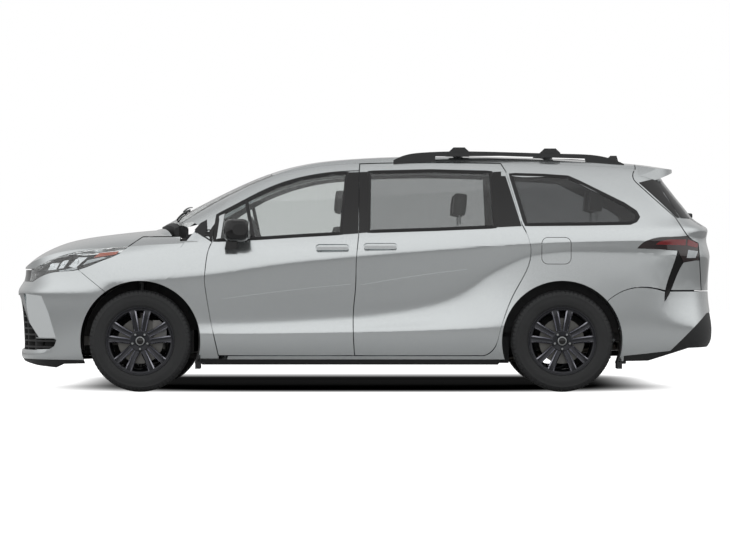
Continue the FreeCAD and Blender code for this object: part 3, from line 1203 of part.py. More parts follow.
def make_nodes():
    nodes = {}

    def pair(name, shape):
        nodes[name + "_left"] = shape
        nodes[name + "_right"] = mirrored(shape)

    def both(name, shape):
        nodes[name] = Part.makeCompound([shape, mirrored(shape)])

    make_shells()
    front, slide = make_doors()
    pair("front_door", front)
    pair("sliding_door", slide)
    pair("front_door_glass", side_glass(FRONT_GLASS))
    both("sliding_door_glass", side_glass(SLIDE_GLASS))
    both("quarter_glass", side_glass(QUARTER_GLASS))
    hood, cowl, fender, lamp, bumper, front_trim = make_nose()
    nodes["hood"] = whole(hood)
    nodes["cowl"] = whole(cowl)
    pair("front_fender", fender)
    both("headlamps", lamp)
    nodes["front_bumper"] = whole(bumper)
    nodes["front_lower_trim"] = whole(front_trim)
    grille, brow = make_grille()
    nodes["front_grille"] = grille
    nodes["front_brow"] = brow
    pair("body_side", biggest(make_sides()))
    roof, screen = make_roof()
    nodes["roof_panel"] = whole(roof)
    nodes["windscreen"] = whole(screen)
    gate, gate_glass, rear_bumper, tail_lamp, rear_trim, corner = make_tail()
    nodes["tailgate"] = whole(gate)
    nodes["rear_spoiler"] = whole(make_spoiler())
    nodes["rear_lower_trim"] = whole(rear_trim)
    both("corner_trims", corner)
    nodes["tailgate_glass"] = whole(gate_glass)
    nodes["rear_bumper"] = whole(rear_bumper)
    both("tail_lamps", tail_lamp)
    strip = [[(-1190, FLOOR_Z), (990, FLOOR_Z)], [(990, FLOOR_Z), (970, SILL_STRIP_Z)], [(970, SILL_STRIP_Z), (-1180, SILL_STRIP_Z)],
             [(-1180, SILL_STRIP_Z), (-1190, FLOOR_Z)]]
    both("sill_mouldings", biggest(in_region(strip, "jamb_in")))
    nodes["underbody"] = make_underbody()
    front_liner, rear_liner = make_liners()
    nodes["arch_liners"] = Part.makeCompound([front_liner, mirrored(front_liner), rear_liner, mirrored(rear_liner)])
    nodes["engine_block"] = rounded_box(20, -2130, -1500, -380, 380, 330, 880)
    nodes["front_axle"] = make_front_axle()
    pair("knuckle", make_knuckle())
    nodes["rear_axle"] = make_rear_axle()
    nodes["fuel_tank"] = rounded_box(12, 150, 800, -520, 320, 205, FLOOR_Z)
    muffler = rounded_box(20, 1912, 2260, 120, 620, 270, 359.8)
    pipe = rod(V(-1200, 420, 205), V(1000, 420, 205), 27).fuse(
        [Part.makeSphere(27, V(1000, 420, 205)), rod(V(1000, 420, 205), V(1930, 420, 315), 27)])
    nodes["exhaust"] = muffler.fuse(pipe)
    nodes["dashboard"] = make_dashboard()
    nodes["steering_wheel"] = make_steering_wheel()
    floor = FLOOR_Z + FLOOR_WALL
    both("front_seats", seat(-315, -375, 500, 690, 480, 560, 150, floor))
    both("middle_seats", seat(560, -385, 500, 680, 470, 550, 150, floor))
    nodes["rear_bench"] = seat(1590, 0, 1180, 760, 450, 500, 130, REAR_FLOOR_Z + FLOOR_WALL)
    pair("mirror", make_mirror())
    nodes["roof_rails"] = make_rails()
    nodes["antenna"] = make_antenna()
    flaps = [make_flap(FRONT_AXLE_X), make_flap(REAR_AXLE_X)]
    nodes["mud_flaps"] = Part.makeCompound(flaps + [mirrored(flap) for flap in flaps])
    tyre, wheel = make_tyre(), make_wheel()
    for place, x in (("front", FRONT_AXLE_X), ("rear", REAR_AXLE_X)):
        for name, shape in (("tyre", tyre), ("wheel", wheel)):
            left, right = place_wheels(shape, x, -TRACK / 2)
            nodes[name + "_" + place + "_left"] = left
            nodes[name + "_" + place + "_right"] = right
    return nodes


def main():
    import time
    t0 = time.time()
    os.makedirs("parts", exist_ok=True)
    for name, shape in make_nodes().items():
        if not shape.isValid() or shape.ShapeType == "Compound":
            print(name, shape.isValid(), len(shape.Solids))
        shape.exportStep("parts/" + name + ".step")
    print("end", time.time() - t0)


if __name__ == "__main__":
    main()
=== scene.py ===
import math

import bmesh
import bpy
from mathutils import Matrix, Vector
from mathutils.bvhtree import BVHTree


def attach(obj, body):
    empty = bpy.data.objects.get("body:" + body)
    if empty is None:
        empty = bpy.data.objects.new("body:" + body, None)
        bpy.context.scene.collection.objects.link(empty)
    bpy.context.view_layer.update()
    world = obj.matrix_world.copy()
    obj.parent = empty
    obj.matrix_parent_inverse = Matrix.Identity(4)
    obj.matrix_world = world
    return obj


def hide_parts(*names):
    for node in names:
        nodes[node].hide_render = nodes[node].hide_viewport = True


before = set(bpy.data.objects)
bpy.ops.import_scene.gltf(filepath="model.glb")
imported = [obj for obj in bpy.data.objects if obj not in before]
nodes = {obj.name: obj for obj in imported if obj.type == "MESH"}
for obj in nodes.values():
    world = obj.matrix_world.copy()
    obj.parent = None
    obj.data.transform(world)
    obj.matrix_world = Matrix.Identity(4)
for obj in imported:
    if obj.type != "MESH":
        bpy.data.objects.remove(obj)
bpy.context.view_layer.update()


# Studio. A pale floor and a white surround, lit by one large softbox overhead and a smaller one on each side,
# so that the paint's upper faces are bright and its sides fall into grey. The camera stands level, 28 m off.
def colour(code):
    """An sRGB hex colour as the linear colour that the sockets take."""
    parts = [int(code[i:i + 2], 16) / 255 for i in (1, 3, 5)]
    return [c / 12.92 if c <= 0.04045 else ((c + 0.055) / 1.055) ** 2.4 for c in parts] + [1.0]


def add(tree, kind, settings, links=None, ramp=()):
    """Adds a node with its settings by name, links from other nodes' outputs, and the colours of its ramp."""
    node = tree.nodes.new("ShaderNode" + kind)
    for name, value in settings.items():
        if isinstance(name, int) or name in node.inputs:
            node.inputs[name].default_value = value
        else:
            setattr(node, name, value)
    for name, (source, output) in (links or {}).items():
        tree.links.new(source.outputs[output], node.inputs[name])
    for i, code in enumerate(ramp):
        node.color_ramp.elements[i].color = colour(code)
    return node


def blank_material(name):
    """A material with no nodes yet."""
    finish = bpy.data.materials.new(name)
    finish.use_nodes = True
    finish.node_tree.nodes.clear()
    return finish, finish.node_tree


def made_of(name, rows, faces):
    """A mesh of rows of corners, and faces."""
    mesh = bpy.data.meshes.new(name)
    mesh.from_pydata([corner for row in rows for corner in row], [], faces)
    return mesh


white = colour("#FFFFFF")
scene = bpy.context.scene
scene.view_settings.view_transform = "Standard"
world = bpy.data.worlds.new("studio_surround")
scene.world = world
world.use_nodes = True
world.node_tree.nodes.clear()
ambient = 0.42
tree = world.node_tree
path = add(tree, "LightPath", {})
seen = add(tree, "Math", {"operation": "MAXIMUM"},
           {0: (path, "Is Camera Ray"), 1: (path, "Is Transmission Ray")})
# Gloss mirrors walls that are brightest halfway up, and dimmer at the floor, overhead and on the far side
direction = add(tree, "TexCoord", {})
split = add(tree, "SeparateXYZ", {}, {"Vector": (direction, "Generated")})
wall = add(tree, "ValToRGB", {}, {"Fac": (split, "Z")})
# Brightness by how steeply a reflection looks up, from level at 0 to straight up at 1
wall.color_ramp.elements[0].color = (0.80, 0.80, 0.80, 1)
wall.color_ramp.elements[1].color = (0.72, 0.72, 0.72, 1)
for height, bright in ((0.12, 1.05), (0.5, 1.12), (0.8, 0.95)):
    wall.color_ramp.elements.new(height).color = (bright, bright, bright, 1)
far_side = add(tree, "MapRange", {"interpolation_type": "SMOOTHSTEP", "From Min": -0.1, "From Max": 0.7,
                                  "To Min": 1.0, "To Max": 0.5}, {"Value": (split, "Y")})
mirrored = add(tree, "Math", {"operation": "MULTIPLY"}, {0: (wall, "Color"), 1: (far_side, "Result")})
glossy = add(tree, "Mix", {"data_type": "FLOAT", 2: ambient},
             {0: (path, "Is Glossy Ray"), 3: (mirrored, "Value")})
level = add(tree, "Mix", {"data_type": "FLOAT", 3: 1.0}, {0: (seen, "Value"), 2: (glossy, "Result")})
surround = add(tree, "Background", {"Color": white}, {"Strength": (level, "Result")})
add(tree, "OutputWorld", {}, {"Surface": (surround, "Background")})

floor_finish, tree = blank_material("painted_studio_floor")
path = add(tree, "LightPath", {})
place = add(tree, "TexCoord", {})
# A painted shadow: for camera rays the floor is painted dark in a rounded patch from the vehicle's near
# wheels to 3.4 m past its far side, and glows white outside the patch
painted_shadow_half_x = 2.4
painted_shadow_half_y = 2.85
painted_shadow_middle_y = 1.75
painted_shadow = add(tree, "VectorMath",
             {"operation": "MULTIPLY_ADD", 1: (1 / painted_shadow_half_x, 1 / painted_shadow_half_y, 0),
              2: (0, -painted_shadow_middle_y / painted_shadow_half_y, 0)}, {0: (place, "Object")})
split = add(tree, "SeparateXYZ", {}, {"Vector": (painted_shadow, "Vector")})
along = add(tree, "Math", {"operation": "POWER", 1: 4.0}, {0: (split, "X")})
across = add(tree, "Math", {"operation": "POWER", 1: 4.0}, {0: (split, "Y")})
outside = add(tree, "Math", {"operation": "ADD"}, {0: (along, "Value"), 1: (across, "Value")})
edge = add(tree, "MapRange", {"interpolation_type": "SMOOTHSTEP", "From Min": 0.3, "From Max": 1.1},
           {"Value": (outside, "Value")})
distance = add(tree, "MapRange", {"From Min": 0.45, "From Max": 1.0}, {"Value": (split, "Y")})
fade = add(tree, "Math", {"operation": "POWER", 1: 1.6}, {0: (distance, "Result")})
level = add(tree, "Math", {"operation": "MAXIMUM"}, {0: (edge, "Result"), 1: (fade, "Value")})
# The painted shadow's colour: dark in the patch, pale outside it
shade = add(tree, "ValToRGB", {}, {"Fac": (level, "Value")}, ("#1A1A1A", "#C8C8C8"))
plain = add(tree, "BsdfDiffuse", {"Color": colour("#C8C8C8")})
painted_shadow_diffuse = add(tree, "BsdfDiffuse", {}, {"Color": (shade, "Color")})
fill = add(tree, "Emission", {"Color": white}, {"Strength": (level, "Value")})
shown = add(tree, "AddShader", {}, {0: (painted_shadow_diffuse, "BSDF"), 1: (fill, "Emission")})
seen = add(tree, "Math", {"operation": "MAXIMUM"},
           {0: (path, "Is Camera Ray"), 1: (path, "Is Transmission Ray")})
blend = add(tree, "MixShader", {}, {0: (seen, "Value"), 1: (plain, "BSDF"), 2: (shown, "Shader")})
add(tree, "OutputMaterial", {}, {"Surface": (blend, "Shader")})

floor_half = 60.0
corners = [(x * floor_half, y * floor_half, 0) for x, y in ((-1, -1), (1, -1), (1, 1), (-1, 1))]
mesh = made_of("studio_floor", [corners], [(0, 1, 2, 3)])
mesh.materials.append(floor_finish)
floor = bpy.data.objects.new("studio_floor", mesh)
scene.collection.objects.link(floor)

softboxes = [("overhead_softbox", (0, 0, 6.0), (0, 0, 0), (11.0, 6.0), 260),
             ("left_softbox", (-2.0, -9.0, 5.0), (math.radians(62), 0, math.radians(-12)), (6.0, 2.5), 80),
             ("right_softbox", (2.0, 9.0, 5.0), (math.radians(-62), 0, math.radians(-12)), (6.0, 2.5), 80)]
for name, place, turn, size, power in softboxes:
    lamp = bpy.data.lights.new(name, "AREA")
    lamp.shape = "RECTANGLE"
    lamp.size, lamp.size_y = size
    lamp.energy = power
    box = bpy.data.objects.new(name, lamp)
    box.location = place
    box.rotation_euler = turn
    box.visible_glossy = False
    scene.collection.objects.link(box)

camera_x = 0.0036
camera_height = 0.856
camera_distance = 28.0
near_wheels_y = -0.972
sensor = 36.0
focal_pixels = 3867.0
frame_width = 730.0
camera = bpy.data.cameras.new("photograph_camera")
camera.sensor_width = sensor
camera.lens = focal_pixels * sensor / frame_width
viewer = bpy.data.objects.new("photograph_camera", camera)
viewer.location = (camera_x, near_wheels_y - camera_distance, camera_height)
viewer.rotation_euler = (math.radians(90), 0, 0)
scene.collection.objects.link(viewer)
scene.camera = viewer


# Painted panels. Pressed steel and moulded bumpers, sprayed with a light silver metallic base coat under
# clear lacquer: soft bright shading from the flakes, and a sharp, thin reflection from the lacquer on top.
silver_paint, tree = blank_material("silver_metallic_paint")
place = add(tree, "TexCoord", {})
# Real flakes are about 0.05 mm; they are drawn at 3 mm so that they show at all
flakes = add(tree, "TexVoronoi", {"Scale": 330.0}, {"Vector": (place, "Object")})
shade = add(tree, "ValToRGB", {}, {"Fac": (flakes, "Color")}, ("#C3C7C8", "#CFD3D4"))
# Orange peel in car lacquer is 5 to 10 mm across
peel = add(tree, "TexNoise", {"Scale": 120.0, "Detail": 1.0}, {"Vector": (place, "Object")})
bump = add(tree, "Bump", {"Strength": 0.015, "Distance": 0.002}, {"Height": (peel, "Fac")})
body = add(tree, "BsdfPrincipled",
           {"Metallic": 0.9, "Roughness": 0.16, "Coat Weight": 1.0, "Coat Roughness": 0.03},
           {"Base Color": (shade, "Color"), "Coat Normal": (bump, "Normal")})
add(tree, "OutputMaterial", {}, {"Surface": (body, "BSDF")})


def dress(finish, *names):
    """Gives CAD nodes their finish, and shades them smooth across bends of less than 30 degrees."""
    for name in names:
        mesh = nodes[name].data
        mesh.materials.clear()
        mesh.materials.append(finish)
        mesh.polygons.foreach_set("use_smooth", [True] * len(mesh.polygons))
        mesh.set_sharp_from_angle(angle=math.radians(30))


panels = ["hood", "roof_panel", "tailgate", "rear_spoiler", "front_bumper", "rear_bumper"]
for part in ("front_door", "sliding_door", "front_fender", "body_side"):
    panels += [part + "_left", part + "_right"]
dress(silver_paint, *panels)


# Window glass. Curved toughened soda-lime sheets, float-made and so quite flat: light grey in the windscreen
# and front doors, and dark privacy glass from the sliding doors back.
def clear_sheet(name, tint, rough=0.0, ior=1.52):
    """Clear material, soda-lime glass unless told otherwise. Its tint is the light one pane lets through."""
    finish, tree = blank_material(name)
    body = add(tree, "BsdfPrincipled",
               {"Base Color": colour(tint), "Roughness": rough, "IOR": ior, "Transmission Weight": 1.0})
    add(tree, "OutputMaterial", {}, {"Surface": (body, "BSDF")})
    return finish


light_glass = clear_sheet("grey_tinted_glass", "#D6D9D8")
privacy_glass = clear_sheet("privacy_glass", "#B4B6B6")
rear_privacy_glass = clear_sheet("rear_privacy_glass", "#858788")
dress(light_glass, "windscreen", "front_door_glass_left", "front_door_glass_right")
dress(privacy_glass, "sliding_door_glass")
dress(rear_privacy_glass, "quarter_glass", "tailgate_glass")


# Black moulded trim that stays as moulded: textured polypropylene for the cowl, sill strips and arch liners.
def moulded(name, base, rough, grain, depth):
    """Moulded plastic with a grain of the given size in millimetres pressed into it by its tool."""
    finish, tree = blank_material(name)
    place = add(tree, "TexCoord", {})
    texture = add(tree, "TexNoise", {"Scale": 1000.0 / grain, "Detail": 3.0}, {"Vector": (place, "Object")})
    bump = add(tree, "Bump", {"Strength": 0.3, "Distance": depth}, {"Height": (texture, "Fac")})
    shade = add(tree, "ValToRGB", {}, {"Fac": (texture, "Fac")})
    shade.color_ramp.elements[0].color = [c * 0.75 for c in colour(base)[:3]] + [1.0]
    shade.color_ramp.elements[1].color = [min(c * 1.3, 1.0) for c in colour(base)[:3]] + [1.0]
    body = add(tree, "BsdfPrincipled", {"Roughness": rough, "IOR": 1.49},
               {"Base Color": (shade, "Color"), "Normal": (bump, "Normal")})
    add(tree, "OutputMaterial", {}, {"Surface": (body, "BSDF")})
    return finish


black_polypropylene = moulded("grained_black_polypropylene", "#1B1C1D", 0.55, 3.0, 0.0004)
gloss_black = moulded("gloss_black_abs", "#0D0D0E", 0.08, 40.0, 0.00002)
rail_black = moulded("satin_black_rail_coating", "#2A2B2C", 0.4, 2.0, 0.0002)
cabin_plastic = moulded("soft_touch_cabin_plastic", "#2E2F30", 0.6, 3.0, 0.0003)
dress(black_polypropylene, "cowl", "sill_mouldings", "arch_liners", "mud_flaps", "front_grille",
      "front_lower_trim", "rear_lower_trim")
dress(gloss_black, "mirror_left", "mirror_right", "front_brow", "corner_trims", "antenna")
dress(rail_black, "roof_rails")
dress(cabin_plastic, "dashboard", "steering_wheel")


# Running gear. Cast iron and pressed steel under black chassis coating, dulled by road dust, seen under the
# sills and through the wheels.
def coated_metal(name, base, dusty, rough, metallic):
    """Coated or bare metal with patches of dry road dust about 150 mm across."""
    finish, tree = blank_material(name)
    place = add(tree, "TexCoord", {})
    patches = add(tree, "TexNoise", {"Scale": 6.0, "Detail": 6.0, "Roughness": 0.65},
                  {"Vector": (place, "Object")})
    shade = add(tree, "ValToRGB", {}, {"Fac": (patches, "Fac")}, (base, dusty))
    shade.color_ramp.elements[0].position = 0.35
    shade.color_ramp.elements[1].position = 0.75
    bump = add(tree, "Bump", {"Strength": 0.2, "Distance": 0.0005}, {"Height": (patches, "Fac")})
    body = add(tree, "BsdfPrincipled", {"Roughness": rough, "Metallic": metallic},
               {"Base Color": (shade, "Color"), "Normal": (bump, "Normal")})
    add(tree, "OutputMaterial", {}, {"Surface": (body, "BSDF")})
    return finish


chassis_coating = coated_metal("black_chassis_coating", "#131314", "#2B2A28", 0.55, 0.0)
cast_iron = coated_metal("machined_cast_iron", "#6E6F70", "#85807A", 0.42, 0.9)
exhaust_steel = coated_metal("dull_stainless_steel", "#7C7973", "#5E564C", 0.38, 0.9)
dress(chassis_coating, "underbody", "front_axle", "rear_axle", "fuel_tank")
dress(cast_iron, "engine_block", "knuckle_left", "knuckle_right")
dress(exhaust_steel, "exhaust")


# Tyres. Road tyres of black rubber, 235 mm wide, moulded in one piece with four grooves round the tread,
# slots across its shoulders, and a raised ring on each sidewall. Rubber is dull, and grey with dust.
mm = 0.001
track = 1.720
wheel_height = 0.370
axle_places = {"front": -1.627, "rear": 1.433}
sides = {"left": -1, "right": 1}
wheel_places = []
for axle, x in axle_places.items():
    for side, sign in sides.items():
        wheel_places.append((axle + "_" + side, (x, sign * track / 2, wheel_height), -sign))


def finished(name, mesh, finish, body, sharp=30.0):
    """Makes an object of a mesh, smooth but for its sharp edges, that rides on a body."""
    mesh.materials.append(finish)
    mesh.polygons.foreach_set("use_smooth", [True] * len(mesh.polygons))
    mesh.set_sharp_from_angle(angle=math.radians(sharp))
    piece = bpy.data.objects.new(name, mesh)
    scene.collection.objects.link(piece)
    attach(piece, body)
    return piece


def web(rows, around, along):
    """Faces over rows of points: around shuts each row on itself, and along shuts the last on the first."""
    size = len(rows[0])
    faces = []
    for i in range(len(rows) if along else len(rows) - 1):
        j = (i + 1) % len(rows)
        for k in range(size if around else size - 1):
            n = (k + 1) % size
            faces.append((i * size + k, i * size + n, j * size + n, j * size + k))
    return faces


def turned(name, profile, steps, closed=False, angles=None, dip=None):
    """A mesh turned about the Y axis from (radius, y) points in millimetres."""
    rows = []
    for i, angle in enumerate(angles or [2 * math.pi * step / steps for step in range(steps)]):
        row = []
        for j, (r, y) in enumerate(profile):
            r -= dip(i, j) if dip else 0
            row.append((r * mm * math.cos(angle), y * mm, r * mm * math.sin(angle)))
        rows.append(row)
    return made_of(name, rows, web(rows, closed, True))


def outward(mesh):
    """Turns a closed mesh's faces so that they all look outwards."""
    shape = bmesh.new()
    shape.from_mesh(mesh)
    bmesh.ops.recalc_face_normals(shape, faces=shape.faces)
    shape.to_mesh(mesh)
    shape.free()
    return mesh


tyre_rubber, tree = blank_material("carbon_black_tyre_rubber")
place = add(tree, "TexCoord", {})
dust = add(tree, "TexNoise", {"Scale": 9.0, "Detail": 5.0}, {"Vector": (place, "Object")})
shade = add(tree, "ValToRGB", {}, {"Fac": (dust, "Fac")}, ("#151617", "#232425"))
# Moulded rubber has a fine matt skin of about 1 mm
skin = add(tree, "TexNoise", {"Scale": 900.0, "Detail": 2.0}, {"Vector": (place, "Object")})
bump = add(tree, "Bump", {"Strength": 0.25, "Distance": 0.0003}, {"Height": (skin, "Fac")})
body = add(tree, "BsdfPrincipled", {"Roughness": 0.62, "IOR": 1.52},
           {"Base Color": (shade, "Color"), "Normal": (bump, "Normal")})
add(tree, "OutputMaterial", {}, {"Surface": (body, "BSDF")})

crown = 370.0
groove_floor = 362.5
tread_half = [(crown, 0), (crown, 22), (groove_floor, 24), (groove_floor, 31), (crown - 0.3, 33),
              (crown - 0.5, 58), (groove_floor, 60), (groove_floor, 66), (crown - 1.2, 68), (crown - 3, 90)]
shoulder = [(crown - 9, 101), (crown - 17, 107.5), (crown - 30, 112)]
sidewall = [(336, 114), (334, 115.6), (330, 115.8), (327, 115.2), (312, 117), (296, 117.2), (281, 115.5),
            (270, 112.5), (266, 112.6), (261, 110.5), (255, 107), (249.5, 104.5), (248, 104)]
half_profile = tread_half + shoulder + sidewall
tyre_profile = [(r, -y) for r, y in reversed(half_profile[1:])] + half_profile
shoulder_slot_depth = 5.5
rib_slot_depth = 3.0
pitches = 70
pitch = 2 * math.pi / pitches
tread_angles = []
for i in range(pitches):
    tread_angles += [i * pitch, (i + 0.76) * pitch, (i + 0.80) * pitch, (i + 0.95) * pitch]


def tread_dip(i, j):
    """How far a point is sunk: the cross slots cut the shoulders and, less deep, the side ribs."""
    slotted = i % 4 >= 2
    y = abs(tyre_profile[j][1])
    if slotted and 67 < y < 108:
        return shoulder_slot_depth
    if slotted and 32.5 < y < 59:
        return rib_slot_depth
    return 0.0


tyre_shape = turned("tyre_shape", tyre_profile, 0, angles=tread_angles, dip=tread_dip)


def moved(mesh, place, flip):
    """A copy of a mesh at a place, mirrored across the vehicle where flip is -1."""
    mesh = mesh.copy()
    mesh.transform(Matrix.Translation(place) @ Matrix.Diagonal((1, flip, 1, 1)))
    if flip < 0:
        mesh.flip_normals()
    return mesh


for corner, centre, flip in wheel_places:
    mesh = outward(moved(tyre_shape, centre, flip))
    tyre = finished("road_tyre_" + corner, mesh, tyre_rubber, "wheel_" + corner, 35)
    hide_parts("tyre_" + corner)


# Wheels. Eighteen-inch aluminium castings in dark gunmetal paint, with five pairs of spokes that widen to the
# rim. Their edges are a brighter metal, a painted highlight. Five steel nuts in round seats hold each to its
# hub round a domed cap.
def mottled(name, per_metre, detail, dark, light, settings):
    """A finish whose colour wanders between two, over marks of which so many fit in a metre."""
    finish, tree = blank_material(name)
    place = add(tree, "TexCoord", {})
    marks = add(tree, "TexNoise", {"Scale": per_metre, "Detail": detail}, {"Vector": (place, "Object")})
    shade = add(tree, "ValToRGB", {}, {"Fac": (marks, "Fac")}, (dark, light))
    body = add(tree, "BsdfPrincipled", settings, {"Base Color": (shade, "Color")})
    add(tree, "OutputMaterial", {}, {"Surface": (body, "BSDF")})
    return finish


# Paint flakes drawn at 2 mm
gunmetal = mottled("gunmetal_wheel_paint", 500.0, 2.0, "#18191C", "#303137",
                   {"Metallic": 0.7, "Roughness": 0.3, "Coat Weight": 0.4, "Coat Roughness": 0.06})
# Brighter metal for the spokes' edges, a painted highlight, mottled at 2 mm
edge_highlight_metal = mottled("edge_highlight_aluminium", 500.0, 1.0, "#85858D", "#B4B4BC",
                        {"Metallic": 1.0, "Roughness": 0.18})
# Zinc spangle about 17 mm across
plated_steel = mottled("zinc_plated_steel", 60.0, 4.0, "#8D8F90", "#B9BBBB",
                       {"Metallic": 1.0, "Roughness": 0.28})
# Pad marks about 1 mm apart, drawn at 3 mm
disc_steel = mottled("turned_brake_disc_iron", 300.0, 1.0, "#525251", "#71706D",
                     {"Metallic": 1.0, "Roughness": 0.33})

rim = turned("rim", [(247, -104.5), (247, -108), (245, -109.3), (241, -109), (237.5, -105.5), (235, -101),
                     (229, -98.5), (223, -94), (219, -84), (216, -50), (214, 30), (217, 96), (224, 106),
                     (240, 109), (247, 108), (247, 104.5), (228.6, 103.5), (227.5, 60), (205, 25), (205, -25),
                     (220, -50), (227, -75), (228.6, -103.5)], 120, closed=True)
spoke_stations = [(46, 20, 18, -82), (72, 25, 20, -88), (105, 30, 21, -94), (140, 36, 21.5, -99),
                  (175, 44, 23, -102), (205, 51, 25, -103), (223, 57, 28, -100)]
spoke_depth = 34


def lofted(name, rings, closed=False):
    """A skin over rings of equally many points: a bar with both ends shut, or a closed loop."""
    size = len(rings[0])
    faces = web(rings, True, closed)
    if not closed:
        faces.append(tuple(range(size)))
        faces.append(tuple(range((len(rings) - 1) * size, len(rings) * size)))
    return outward(made_of(name, rings, faces))


def spoke(turn, hand):
    """One arm of a pair: a bevelled bar with a shallow channel along its face."""
    rings = []
    for r, offset, half, face_y in spoke_stations:
        section = [(-half, face_y + spoke_depth), (-half, face_y + 8), (-0.64 * half, face_y + 0.5),
                   (-0.3 * half, face_y + 3), (0.3 * half, face_y + 3), (0.64 * half, face_y + 0.5),
                   (half, face_y + 8), (half, face_y + spoke_depth)]
        ring = []
        for across, y in section:
            sideways = hand * (offset + across)
            x = r * math.cos(turn) - sideways * math.sin(turn)
            z = r * math.sin(turn) + sideways * math.cos(turn)
            ring.append((x * mm, y * mm, z * mm))
        rings.append(ring)
    mesh = lofted("spoke", rings)
    # The two bevels beside the channel take the brighter metal, a painted highlight, from the hub's edge to
    # the rim
    for s in range(1, len(rings) - 1):
        for bevel in (1, 5):
            mesh.polygons[s * len(ring) + bevel].material_index = 1
    return mesh


def edited(shape, name):
    """The mesh of a shape whose editing is done."""
    mesh = bpy.data.meshes.new(name)
    shape.to_mesh(mesh)
    shape.free()
    return mesh


def joined(name, *meshes):
    """One mesh of several."""
    shape = bmesh.new()
    for part in meshes:
        shape.from_mesh(part)
    return edited(shape, name)


def set_at(mesh, place, turn=0, axis="Y"):
    """Turns a mesh about an axis by degrees, and moves its middle to a place."""
    mesh.transform(Matrix.Translation(place) @ Matrix.Rotation(math.radians(turn), 4, axis))
    return mesh


hub_profile = [(0, -78), (34, -78), (36, -84), (40, -87), (70, -88), (78, -84), (80, -56), (0, -56)]
spokes = []
for i in range(5):
    for hand in (-1, 1):
        spokes.append(spoke(math.radians(90 + 72 * i), hand))
casting = joined("casting", outward(rim), outward(turned("hub", hub_profile, 60)), *spokes)

nuts = []
seats = []
nut_circle = 57.15 * mm
for i in range(5):
    angle = math.radians(54 + 72 * i)
    centre = (nut_circle * math.cos(angle), 0, nut_circle * math.sin(angle))
    nut_seat = turned("nut_seat", [(10.5, -85), (10.5, -90.5), (13, -91.5), (15, -90), (15.5, -85)], 28)
    seats.append(set_at(nut_seat, centre))
    nut = turned("nut", [(0, -101.5), (7, -101.5), (8.5, -100), (9.5, -84), (0, -84)], 6)
    nuts.append(set_at(nut, centre))
cap = turned("cap", [(0, -95.5), (10, -95.2), (17, -94.2), (23, -92.6), (24, -91), (24, -80)], 48)
cap_ring = turned("cap_ring", [(24.5, -86), (24.8, -92.5), (26.5, -94.2), (30, -93.6), (32.8, -91),
                               (33.5, -88), (33.5, -80)], 48)
disc_profile = [(84, -9), (84, -42), (30, -44), (30, -38), (78, -36), (78, 4), (165, 4), (166, 3), (166, -2),
                (160, -2.5), (160, -5), (166, -6), (166, -9), (165, -10)]
disc = outward(turned("disc", disc_profile, 96, closed=True))
valve = turned("valve", [(0, -112), (3, -112), (3.4, -108), (3.4, -96), (5, -92), (5.5, -80)], 14)
valve_reach = -214 * mm
valve_angle = math.radians(54)
set_at(valve, (valve_reach * math.cos(valve_angle), 0, valve_reach * math.sin(valve_angle)))

wheel_parts = [("nut_seats", joined("nut_seats", *seats), gunmetal, "alloy"),
               ("wheel_nuts", joined("wheel_nuts", *nuts), plated_steel, "alloy"),
               ("centre_cap", cap, gloss_black, "alloy"), ("cap_ring", cap_ring, plated_steel, "steel"),
               ("brake_disc", disc, disc_steel, "alloy"), ("valve", valve, tyre_rubber, "tyre")]
for corner, centre, flip in wheel_places:
    wheel_body = "wheel_" + corner
    wheel = finished("alloy_wheel_" + corner, moved(casting, centre, flip), gunmetal, wheel_body, 28)
    # The spokes' bevels get the brighter metal: a painted highlight along their edges
    wheel.data.materials.append(edge_highlight_metal)
    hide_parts("wheel_" + corner)
    for name, mesh, finish, slot in wheel_parts:
        finished(name + "_" + corner, moved(mesh, centre, flip), finish, wheel_body)


# Pillar covers and window surrounds. Gloss-black moulded plates clipped over the door frames between the
# windows, and a black rubber and enamel border round each window.
def surface_of(*names):
    """The outer faces of CAD nodes, to set pieces on."""
    corners = []
    faces = []
    for name in names:
        mesh = nodes[name].data
        first = len(corners)
        corners += [v.co.copy() for v in mesh.vertices]
        faces += [[first + i for i in p.vertices] for p in mesh.polygons]
    return BVHTree.FromPolygons(corners, faces)


def on_side(surface, x, z):
    """Where a line from far on the left meets a surface at a place in the side view, in metres."""
    hit = surface.ray_cast(Vector((x, -2.0, z)), Vector((0, 1, 0)), 3.0)[0]
    if hit is None:
        hit = surface.find_nearest(Vector((x, -0.95, z)))[0]
    return hit


def thickened(shape, push):
    """Extrudes a shape's faces into a solid. Push gives each new corner's move."""
    extra = bmesh.ops.extrude_face_region(shape, geom=shape.faces[:])
    for v in extra["geom"]:
        if isinstance(v, bmesh.types.BMVert):
            v.co += push(v)
    bmesh.ops.recalc_face_normals(shape, faces=shape.faces)


def plate(name, outline, surface, lift, thick, pull, step=0.04):
    """A thin plate in a side view outline, on a surface that is read a pull nearer to the plate's middle."""
    shape = bmesh.new()
    shape.faces.new([shape.verts.new((x, 0, z)) for x, z in outline])
    low = [min(p[k] for p in outline) for k in (0, 1)]
    high = [max(p[k] for p in outline) for k in (0, 1)]
    for k, normal in ((0, (1, 0, 0)), (1, (0, 0, 1))):
        count = int((high[k] - low[k]) / step)
        for i in range(1, count + 1):
            at = low[k] + (high[k] - low[k]) * i / (count + 1)
            everything = shape.verts[:] + shape.edges[:] + shape.faces[:]
            bmesh.ops.bisect_plane(shape, geom=everything, plane_co=(at, 0, at), plane_no=normal)
    bmesh.ops.triangulate(shape, faces=shape.faces[:])
    middle = (low[0] + high[0]) / 2
    for v in shape.verts:
        inwards = middle - v.co.x
        hit = on_side(surface, v.co.x + math.copysign(min(pull, abs(inwards)), inwards), v.co.z)
        v.co.y = hit.y - lift
    thickened(shape, lambda v: Vector((0, thick, 0)))
    return edited(shape, name)


